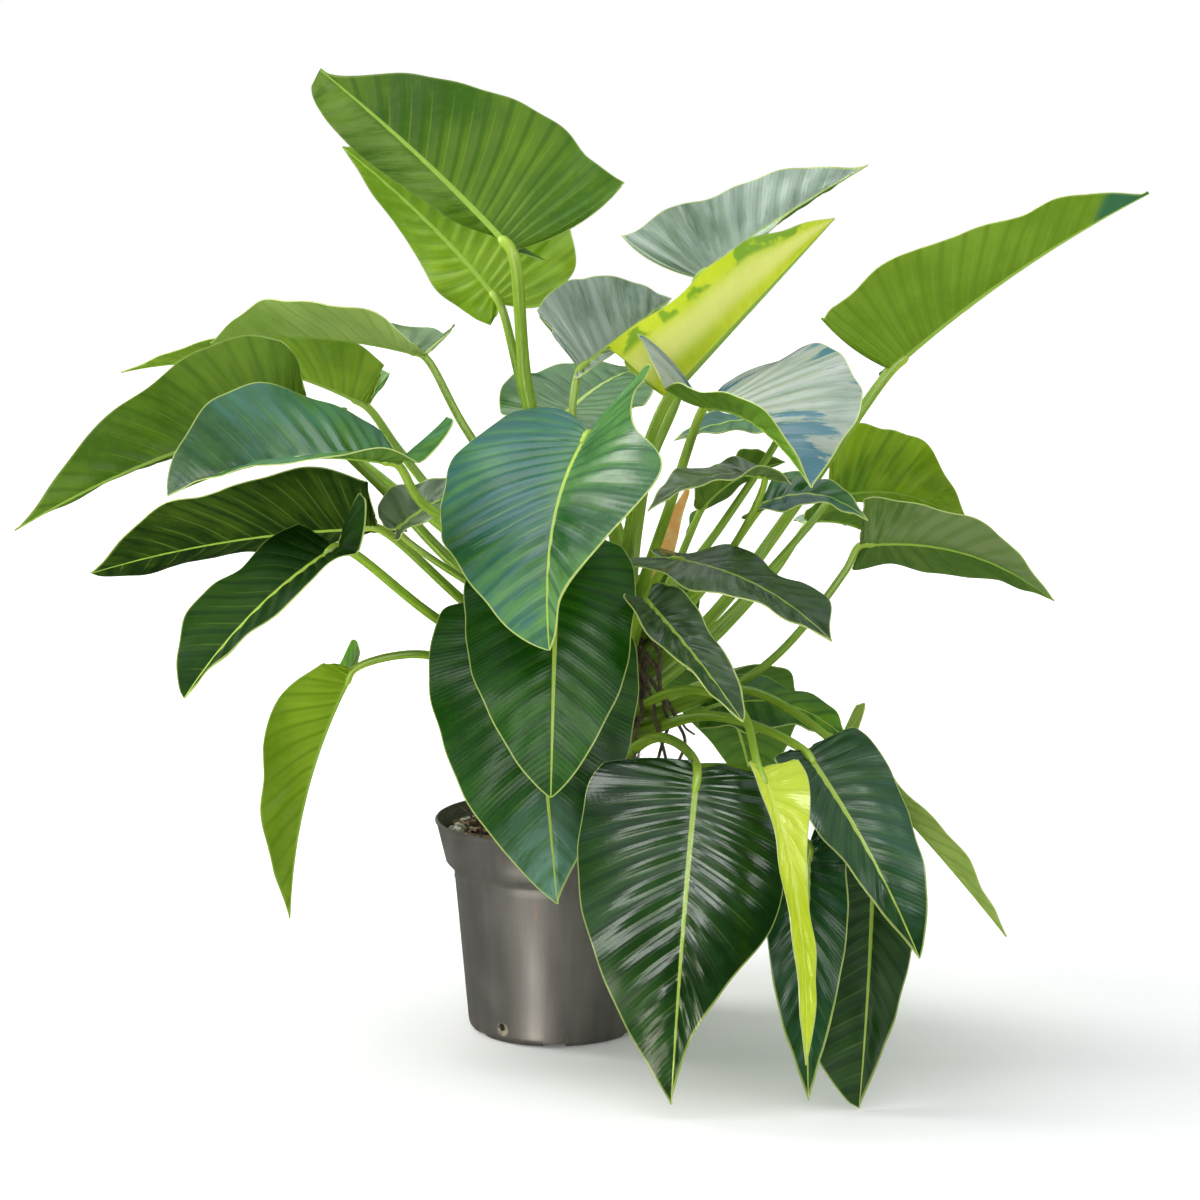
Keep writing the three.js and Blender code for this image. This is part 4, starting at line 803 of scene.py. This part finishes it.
def leaf_bmesh(leaf, relief):
    """A leaf: its blade with furrows and midrib, and its stalk."""
    bm = bmesh.new()
    midrib = midrib_at(leaf, np.linspace(0, 1, 41))[0]
    length = np.linalg.norm(np.diff(midrib, axis=0), axis=1).sum()
    veins = int(np.clip(round(length / VEIN_SPACING), *VEIN_COUNTS))
    rows = veins * ROWS_FOR_VEIN
    u = np.linspace(-1, 1, 2 * BLADE_COLUMNS + 1)
    b = np.sign(u) * np.abs(u) ** COLUMN_BUNCHING
    a, b = (grid.ravel() for grid in np.meshgrid(np.linspace(0, 1, rows + 1), b, indexing="ij"))
    points, out, edge_out, t = blade_at(leaf, length, a, b)
    shape = (rows + 1, 2 * BLADE_COLUMNS + 1)
    middle = points.reshape(*shape, 3)
    normals = np.cross(np.gradient(middle, axis=1), np.gradient(middle, axis=0))
    normals = unit(normals + 1e-9)
    q = np.abs(b)
    number = a * veins
    furrow = np.abs(np.sin(np.pi * number)) ** 0.7 - 0.6 + 0.1 * np.cos(4 * np.pi * number)
    furrow *= smooth(q / 0.12) * (1 - 0.9 * smooth((q - 0.5) / 0.45)) * (1 - smooth((a - 0.8) / 0.2))
    rib_half = leaf["radius"][1] * RIB_WIDTH_SHARE * (1 - t) ** 0.9 + RIB_END
    ridge = np.exp(-1.6 * (out / rib_half) ** 2) * rib_half
    billow = np.sin(11 * a + leaf["root"]) * np.sin(4.2 * b + 0.7 * leaf["root"])
    billow += 0.6 * np.sin(23 * a - leaf["root"]) * np.cos(6 * b + leaf["root"])
    billow *= smooth(q / 0.3) * smooth((1 - a) / 0.2)
    swell = (relief * furrow + BILLOW * billow).reshape(shape)
    above = BLADE_THICKNESS / 2 + swell + RIB_ABOVE * ridge.reshape(shape)
    below = -BLADE_THICKNESS / 2 + swell - RIB_BELOW * ridge.reshape(shape)
    steps = np.linalg.norm(np.diff(middle, axis=0), axis=2)
    from_base = np.vstack([np.zeros(shape[1]), np.cumsum(steps, axis=0)])
    margin = np.minimum(((1 - q) * edge_out).reshape(shape), from_base)
    values = (number.reshape(shape), (out / rib_half).reshape(shape), margin, b.reshape(shape))
    sheet_into(bm, middle, normals, above, below, values, (0, 1, 2))
    bmesh.ops.recalc_face_normals(bm, faces=bm.faces)
    path = stalk_path(leaf)
    share = np.linspace(0, 1, STALK_RINGS)
    thick, fine = leaf["radius"]
    radii = thick + (fine - thick) * share**0.8
    from_trunk = share * np.linalg.norm(np.diff(path, axis=0), axis=1).sum()
    radii += thick * 0.4 * np.exp(-((from_trunk / STALK_FLARE) ** 2) * 1.5)
    radii[-1] = fine * 0.6
    tube_into(bm, path, radii, STALK_SIDES, 3)
    return bm


# How a leaf of each age looks: the dark and the pale colour of its upper side (top) and its underside
# (under), and the depth of its furrows in millimetres (relief). The looks were set leaf by leaf, so
# their colours also hold some of the light and shade that fall on each leaf, and the undersides are
# lighter partly from painted light that stands in for light shining through the blade. For either
# side, shine is roughness, coat and gleam, rib the midrib's colour, veins and margin how strongly those
# are drawn pale, and bands how dark the painted shade is in the furrow beside each vein. Bloom is a
# painted sheen, painted light laid in streaks; on the upper side it is a painted reflection of the
# bright sky. It gives its share of the side, its colour, what is left of it on the left half, and the
# vein that it starts from. Patches are spots of a bluer painted reflection in that sheen, a tip is the
# last part of a blade past a vein, and a roll is a painted highlight along the middle of a rolled leaf
# and the colour of the dark green spots by its upper edge.
# The blue of the painted reflection of the sky in the bloom.
PAINTED_SKY_BLUE = (0.035, 0.15, 0.145)
DEEP = ((0.007, 0.055, 0.001), (0.028, 0.13, 0.004))
# Underside colours: the underside's paler green, lightened further by painted light for the light that
# shines through the blade.
DEEP_UNDER = ((0.05, 0.13, 0.008), (0.09, 0.21, 0.015))
DARK_UNDER = ((0.03, 0.1, 0.008), (0.06, 0.17, 0.015))
GREY_UNDER = ((0.09, 0.16, 0.03), (0.16, 0.24, 0.07))
COOL_UNDER = ((0.09, 0.2, 0.012), (0.15, 0.3, 0.025))
WARM_UNDER = ((0.13, 0.26, 0.003), (0.26, 0.42, 0.015))
WARM = ((0.08, 0.24, 0.015), (0.16, 0.36, 0.03))
MID = ((0.03, 0.12, 0.01), (0.08, 0.21, 0.03))
LIME = ((0.52, 0.66, 0.02), (0.68, 0.8, 0.05))
PALE_MARGIN = (0.5, 0.62, 0.16)
LOOK_DEFAULTS = dict(top_shine=(0.17, 0.1, 0.26), top_rib=(0.4, 0.56, 0.08), top_veins=0.1, top_margin=0.85,
                     top_bands=0.65, under_shine=(0.45, 0.0, 0.14), under_rib=(0.3, 0.48, 0.06),
                     under_veins=0.22, under_margin=0.25, under_bands=0.65)
LOOKS = {
    "deep": dict(top=DEEP, under=DEEP_UNDER, relief=1.1, top_shine=(0.3, 0.0, 0.14)),
    "glazed": dict(top=DEEP, under=DEEP_UNDER, relief=1.0, top_bloom=(0.95, (0.18, 0.36, 0.27), 1, 12),
                   top_shine=(0.3, 0.0, 0.16)),
    "dark": dict(top=((0.004, 0.028, 0.002), (0.018, 0.07, 0.008)), under=DARK_UNDER, relief=2.0,
                 top_bloom=(0.3, (0.03, 0.1, 0.07), 1), top_margin=0.6),
    "teal": dict(top=((0.01, 0.08, 0.01), (0.095, 0.26, 0.05)), top_bloom=(0.85, (0.022, 0.12, 0.125), 0.1),
                 top_shine=(0.28, 0.05, 0.24), under=((0.05, 0.15, 0.01), (0.09, 0.23, 0.015)), relief=2.2),
    "jade": dict(top=((0.012, 0.075, 0.01), (0.06, 0.18, 0.035)), top_bloom=(0.6, (0.07, 0.22, 0.17), 1),
                 top_shine=(0.24, 0.06, 0.24), under=((0.07, 0.17, 0.012), (0.13, 0.27, 0.03)), relief=2.2),
    "pale": dict(top=((0.1, 0.2, 0.05), (0.2, 0.32, 0.1)), under=((0.27, 0.42, 0.06), (0.42, 0.57, 0.13)),
                 relief=1.9, top_bloom=(0.4, PAINTED_SKY_BLUE, 0.8)),
    "marine": dict(top=((0.004, 0.035, 0.004), (0.018, 0.085, 0.012)), under=DARK_UNDER, relief=1.5,
                   top_bloom=(0.45, (0.03, 0.11, 0.07), 1), top_shine=(0.27, 0.05, 0.22), top_margin=0.6),
    "satin": dict(top=((0.005, 0.03, 0.002), (0.024, 0.075, 0.01)), under=DARK_UNDER, relief=1.6,
                  top_shine=(0.4, 0.0, 0.12), top_margin=0.6),
    "dull": dict(top=((0.005, 0.03, 0.002), (0.024, 0.075, 0.005)), under=DARK_UNDER, relief=1.6,
                 top_shine=(0.5, 0.0, 0.05), top_margin=0.6),
    "silver": dict(top=((0.08, 0.16, 0.1), (0.2, 0.3, 0.19)), under=COOL_UNDER, relief=2.0,
                   top_bloom=(0.95, (0.4, 0.49, 0.41), 0.85)),
    "frosted": dict(top=((0.1, 0.18, 0.12), (0.24, 0.34, 0.23)), under=COOL_UNDER, relief=2.0,
                    top_bloom=(0.95, (0.38, 0.42, 0.34), 0.9), top_patches=(0.02, 0.14, 0.18)),
    "grey": dict(top=((0.015, 0.05, 0.01), (0.06, 0.14, 0.035)), under=GREY_UNDER, relief=2.0,
                 top_bloom=(0.85, (0.25, 0.33, 0.19), 0.6), top_shine=(0.22, 0.06, 0.24)),
    "ash": dict(top=((0.012, 0.04, 0.008), (0.05, 0.12, 0.03)), under=GREY_UNDER, relief=2.0,
                top_bloom=(0.75, (0.16, 0.24, 0.12), 0.5), top_shine=(0.24, 0.04, 0.2)),
    "meadow": dict(top=((0.02, 0.1, 0.002), (0.13, 0.31, 0.008)), under=WARM_UNDER, relief=1.6,
                   top_shine=(0.4, 0.0, 0.1)),
    "fresh": dict(top=((0.07, 0.2, 0.05), (0.14, 0.3, 0.1)), under=((0.12, 0.24, 0.004), (0.2, 0.35, 0.02)),
                  relief=1.8, top_bloom=(0.35, PAINTED_SKY_BLUE, 1), under_tip=(16.8, (0.028, 0.14, 0.065))),
    "bright": dict(top=WARM, under=WARM_UNDER, relief=1.9, top_bloom=(0.2, PAINTED_SKY_BLUE, 1),
                   under_bloom=(0.5, (0.26, 0.36, 0.11), 0.6)),
    "sunny": dict(top=WARM, under=((0.12, 0.27, 0.003), (0.26, 0.44, 0.01)), relief=2.1,
                  top_bloom=(0.2, PAINTED_SKY_BLUE, 1), under_bloom=(0.85, (0.4, 0.6, 0.015), 0.15)),
    "sage": dict(top=MID, under=((0.055, 0.14, 0.008), (0.13, 0.24, 0.025)), relief=2.1,
                 top_bloom=(0.2, PAINTED_SKY_BLUE, 1), under_bloom=(0.8, (0.22, 0.3, 0.11), 0.1)),
    "mid": dict(top=MID, under=((0.055, 0.14, 0.001), (0.14, 0.26, 0.01)), relief=1.9,
                top_bloom=(0.2, PAINTED_SKY_BLUE, 1), under_bloom=(0.5, (0.19, 0.34, 0.01), 0.7)),
    "leafy": dict(top=MID, under=((0.03, 0.1, 0.001), (0.11, 0.22, 0.006)), relief=2.0,
                  top_bloom=(0.2, PAINTED_SKY_BLUE, 1), under_bloom=(0.7, (0.19, 0.3, 0.06), 0.0)),
    "olive": dict(top=((0.012, 0.065, 0.01), (0.03, 0.11, 0.03)), top_bloom=(0.4, PAINTED_SKY_BLUE, 1),
                  under=((0.006, 0.025, 0.001), (0.034, 0.08, 0.003)), relief=2.0,
                  under_bloom=(0.4, (0.09, 0.16, 0.004), 1), under_shine=(0.5, 0.0, 0.06)),
    "lime": dict(top=LIME, under=LIME, relief=0.7, top_rib=(0.68, 0.8, 0.1)),
    "young": dict(top=((0.4, 0.58, 0.02), (0.55, 0.7, 0.05)), relief=0.4, under_veins=0.04, under_bands=0.2,
                  under=((0.49, 0.65, 0.004), (0.72, 0.8, 0.035)),
                  under_roll=((0.84, 0.87, 0.22), (0.13, 0.34, 0.01))),
}
BLADE_COAT_ROUGHNESS = 0.18
THREADS_BETWEEN_VEINS = 5
STALK_DARK = (0.17, 0.32, 0.01)
STALK_PALE = (0.34, 0.53, 0.03)
STALK_NECK = (0.42, 0.6, 0.04)
# The colour of painted shade at the stalks' feet, in the middle of the plant.
PAINTED_STALK_FOOT_SHADE = (0.035, 0.075, 0.015)
MARGIN_GREEN = (0.42, 0.5, 0.16)


def point_numbers(tree):
    """The four numbers that each point of a leaf or stem carries, for use in its material."""
    return [node(tree, "Attribute", attribute_name=name).node.outputs["Fac"] for name in POINT_NUMBERS]


def painted_sheen_over(tree, colour, spot, vein, across, fold, bloom, patches):
    """A blade's colour under a streaky painted sheen of light, with patches of a bluer painted reflection in
    it.
    """
    share, painted_sheen_colour, left_share, *first_vein = bloom
    drawn = node(tree, "CombineXYZ", vein, across, 0.0)
    streak = speckle(tree, scaled(tree, drawn, (1.7, 1.1, 0)), 1.0, 5.0, 0.65)
    painted_cover = maths(tree, "ADD", speckle(tree, spot, 5.5, 3.0), maths(tree, "MULTIPLY", streak, 0.8))
    painted_cover = step(tree, painted_cover, 1.15 - 0.55 * share, 1.4 - 0.5 * share, 0.0, share)
    painted_cover = maths(tree, "MULTIPLY", painted_cover, step(tree, across, -0.15, 0.3, left_share, 1.0))
    painted_cover = maths(tree, "MULTIPLY", painted_cover, step(tree, fold, 0.04, 0.3, 0.6, 1.0))
    for vein_number in first_vein:
        painted_cover = maths(tree, "MULTIPLY", painted_cover, step(tree, vein, vein_number, vein_number + 5))
    colour = mixed(tree, painted_cover, colour, painted_sheen_colour)
    # Painted reflection: patches of a bluer reflection of the sky inside the painted sheen.
    if patches:
        moved = node(tree, "VectorMath", spot, (0.3, 0.1, 0.05), operation="ADD")
        painted_cover = maths(tree, "ADD", speckle(tree, moved, 9.0, 2.0, 0.4), maths(tree, "MULTIPLY", streak, 0.6))
        colour = mixed(tree, step(tree, painted_cover, 0.8, 0.86, 0.0, 0.96), colour, patches)
    return colour


def blade_finish(look, side):
    """One side of a blade: two greens, painted shade beside the veins, a painted sheen, pale side veins,
    midrib and margin, and fine ribbing.
    """
    style = {key.removeprefix(side + "_"): value for key, value in {**LOOK_DEFAULTS, **LOOKS[look]}.items()
             if key.startswith(side)}
    gloss, coat, gleam = style["shine"]
    dark, pale = style[side]
    made, tree, shader = finish(look + "_" + side, Specular_IOR_Level=gleam, Coat_Weight=coat,
                                Coat_Roughness=BLADE_COAT_ROUGHNESS)
    spot = object_point(tree)
    vein, rib, margin, across = point_numbers(tree)
    patch = speckle(tree, spot, 9.0, 4.0)
    fine = speckle(tree, spot, 130.0, 5.0, 0.65)
    colour = mixed(tree, step(tree, patch, 0.32, 0.7), dark, pale)
    colour = mixed(tree, step(tree, fine, 0.4, 0.75, 0.0, 0.3), colour, pale)
    fold = maths(tree, "PINGPONG", vein, 0.5)
    # Painted shade: a dark streak beside each side vein stands for the shade that falls in its furrow.
    furrow_shade_wave = maths(tree, "SINE", maths(tree, "SUBTRACT", maths(tree, "MULTIPLY", vein, math.tau), 1.0))
    colour = mixed(tree, step(tree, furrow_shade_wave, 0.4, 1.0, 0.0, style["bands"]), colour, dark)
    # Painted sheen: the bloom lays painted light in streaks, on the upper side a painted reflection of the
    # bright sky.
    if "bloom" in style:
        colour = painted_sheen_over(tree, colour, spot, vein, across, fold, style["bloom"], style.get("patches"))
    if "tip" in style:
        start, tip_colour = style["tip"]
        colour = mixed(tree, step(tree, vein, start, start + 0.6, 0.0, 0.92), colour, tip_colour)
    # Painted highlight: a near-white band along the middle of the rolled leaf. The dark green spots by its
    # upper edge are the leaf's own.
    if "roll" in style:
        lit, green = style["roll"]
        off_highlight = maths(tree, "ABSOLUTE", maths(tree, "SUBTRACT", across, 0.5))
        colour = mixed(tree, step(tree, off_highlight, 0.34, 0.06, 0.0, 0.85), colour, lit)
        spots = step(tree, speckle(tree, spot, 32.0, 3.0), 0.5, 0.58, 0.0, 0.8)
        colour = mixed(tree, maths(tree, "MULTIPLY", spots, step(tree, across, 0.72, 0.82)), colour, green)
    on_vein = maths(tree, "MULTIPLY", step(tree, fold, 0.06, 0.0, 0.0, style["veins"]),
                    step(tree, margin, 4.0, 30.0))
    colour = mixed(tree, on_vein, colour, style["rib"])
    colour = mixed(tree, step(tree, rib, 1.2, 0.8), colour, style["rib"])
    colour = mixed(tree, step(tree, margin, 1.3, 0.6, 0.0, style["margin"]), colour, PALE_MARGIN)
    threads = maths(tree, "SINE", maths(tree, "MULTIPLY", vein, math.tau * THREADS_BETWEEN_VEINS))
    relief = maths(tree, "ADD", maths(tree, "MULTIPLY", threads, 0.2), fine)
    paint(tree, shader, colour, step(tree, patch, 0.3, 0.8, gloss, gloss + 0.12), relief, 0.0005, 0.4)
    return made


stalk_skin, tree, shader = finish("stalk_skin", Specular_IOR_Level=0.45, Coat_Weight=0.1, Coat_Roughness=0.3)
run, left, sine, cosine = point_numbers(tree)
lines = scaled(tree, node(tree, "CombineXYZ", cosine, sine, run), (3.5, 3.5, 0.012))
streak = speckle(tree, lines, 1.6, 5.0, 0.6)
skin = mixed(tree, step(tree, streak, 0.34, 0.68), STALK_DARK, STALK_PALE)
skin = mixed(tree, step(tree, left, 60.0, 5.0, 0.0, 0.6), skin, STALK_NECK)
# Painted shade: the stalks darken towards the trunk, where shade falls in the middle of the plant.
skin = mixed(tree, step(tree, run, 75.0, 25.0, 0.0, 0.55), skin, PAINTED_STALK_FOOT_SHADE)
paint(tree, shader, skin, step(tree, streak, 0.3, 0.7, 0.32, 0.5), streak, 0.0003, 0.5)
margin_skin, tree, shader = finish("margin_skin", Roughness=0.4)
edge_noise = speckle(tree, object_point(tree), 120.0)
edge_colour = mixed(tree, step(tree, edge_noise, 0.3, 0.7), MARGIN_GREEN, PALE_MARGIN)
paint(tree, shader, edge_colour, None, edge_noise, 0.0003, 0.4)
sides = {look: [blade_finish(look, side) for side in ("top", "under")] for look in LOOKS}
for name, row in LEAVES.items():
    leaf = {**LEAF_DEFAULTS, **row}
    look = leaf["look"]
    materials = [*sides[look], margin_skin, stalk_skin]
    piece(name + "_veined", leaf_bmesh(leaf, LOOKS[look]["relief"]), materials, name, LEAF_SHARP_ANGLE)

# The studio: a pale floor under a bright white sky. The floor glows with painted light of its own, dim
# near the plant so that the plant's shadow shows, and brighter farther out. Two soft lights, overhead
# and on the left, light the plant, and three more only draw highlights on the glossy leaves. A bright
# card that shows in reflections alone draws the highlight on the pot.
CAMERA_PLACE = (0.045, -2.95, 0.87)
CAMERA_PITCH = 8.4
CARD_SIDE = -0.42
CARD_LIGHT = (20.0, 18.4, 16.2)
FLOOR_HALF = 14
FLOOR_COLOUR = (0.92, 0.92, 0.92, 1)
SHADE_PLACE = (0.25, 0.35, 0)
SHADE_EDGE = (0.45, 1.7)
SHADE_GLOW = (0.1, 0.1, 0.105)
FLOOR_GLOW = (0.6, 0.6, 0.6)
WHITE = (1.0, 1.0, 1.0)

floor_mesh = bmesh.new()
bmesh.ops.create_grid(floor_mesh, x_segments=8, y_segments=8, size=FLOOR_HALF)
mesh = bpy.data.meshes.new("floor")
floor_mesh.to_mesh(mesh)
floor_mesh.free()
floor = bpy.data.objects.new("floor", mesh)
bpy.context.scene.collection.objects.link(floor)
pale, tree, shader = finish("pale_glowing_floor", Roughness=0.9, Specular_IOR_Level=0.1)
shader.inputs["Base Color"].default_value = FLOOR_COLOUR
shader.inputs["Emission Strength"].default_value = 1.0
# Painted light: the floor glows by itself, dimly within reach of the plant's shadow and brighter farther
# out, so the far floor turns white.
distance = distance_to(tree, object_point(tree), SHADE_PLACE)
glow = mixed(tree, step(tree, distance, *SHADE_EDGE), SHADE_GLOW, FLOOR_GLOW)
tree.links.new(glow, shader.inputs["Emission Color"])
mesh.materials.append(pale)
floor.visible_glossy = False

world = bpy.data.worlds.new("studio")
world.use_nodes = True
bpy.context.scene.world = world
tree = world.node_tree
sky = tree.nodes["Background"]
paths = tree.nodes.new("ShaderNodeLightPath").outputs
aside, ahead, up = axes(tree, tree.nodes.new("ShaderNodeTexCoord").outputs["Generated"])
soft = mixed(tree, step(tree, up, -0.1, 0.9), (0.52, 0.52, 0.5), (0.76, 0.78, 0.78))
mirror = mixed(tree, step(tree, up, 0.2, 0.95), (0.05, 0.055, 0.05), (1.7, 1.85, 2.0))
from_card = maths(tree, "ABSOLUTE", maths(tree, "SUBTRACT", aside, CARD_SIDE))
card = maths(tree, "MULTIPLY", step(tree, from_card, 0.16, 0.04), step(tree, up, 0.0, -0.12))
card = maths(tree, "MULTIPLY", card, step(tree, ahead, -0.5, -0.8))
mirror = mixed(tree, card, mirror, CARD_LIGHT)
lit = mixed(tree, paths["Is Glossy Ray"], soft, mirror)
tree.links.new(mixed(tree, paths["Is Camera Ray"], lit, WHITE), sky.inputs["Color"])
sky.inputs["Strength"].default_value = 1.0


def softbox(name, place, target, size, power, colour, lights_matt=True):
    """A flat lamp that faces a point; one that lights no matt surface only draws highlights."""
    lamp = bpy.data.lights.new(name, "AREA")
    lamp.shape = "RECTANGLE"
    lamp.size, lamp.size_y = size
    lamp.energy = power
    lamp.color = colour
    made = bpy.data.objects.new(name, lamp)
    made.location = place
    made.rotation_euler = (Vector(target) - Vector(place)).to_track_quat("-Z", "Y").to_euler()
    made.visible_diffuse = lights_matt
    bpy.context.scene.collection.objects.link(made)


softbox("top_light", (-0.7, 0.3, 2.7), (0, 0, 0.6), (2.0, 1.6), 34, (0.97, 0.99, 1.0))
softbox("left_light", (-2.6, 0.5, 1.7), (0, 0, 0.4), (1.0, 1.0), 62, (1.0, 0.98, 0.95))
softbox("front_glow", (-0.8, -2.6, 1.3), (0.1, -0.3, 0.15), (0.8, 1.0), 32, WHITE, False)
softbox("high_sheen", (0.42, -1.9, 1.4), (0.17, -0.3, 0.29), (0.7, 0.6), 22, WHITE, False)
softbox("right_sheen", (2.0, -1.6, 1.35), (0.1, -0.2, 0.2), (0.9, 0.9), 15, WHITE, False)

view = bpy.data.cameras.new("view")
view.lens = 90
view.sensor_width = 36
view.clip_end = 60
camera = bpy.data.objects.new("view", view)
camera.location = CAMERA_PLACE
camera.rotation_euler = (math.radians(90 - CAMERA_PITCH), 0, 0)
bpy.context.scene.collection.objects.link(camera)
bpy.context.scene.camera = camera
bpy.context.scene.view_settings.view_transform = "Standard"
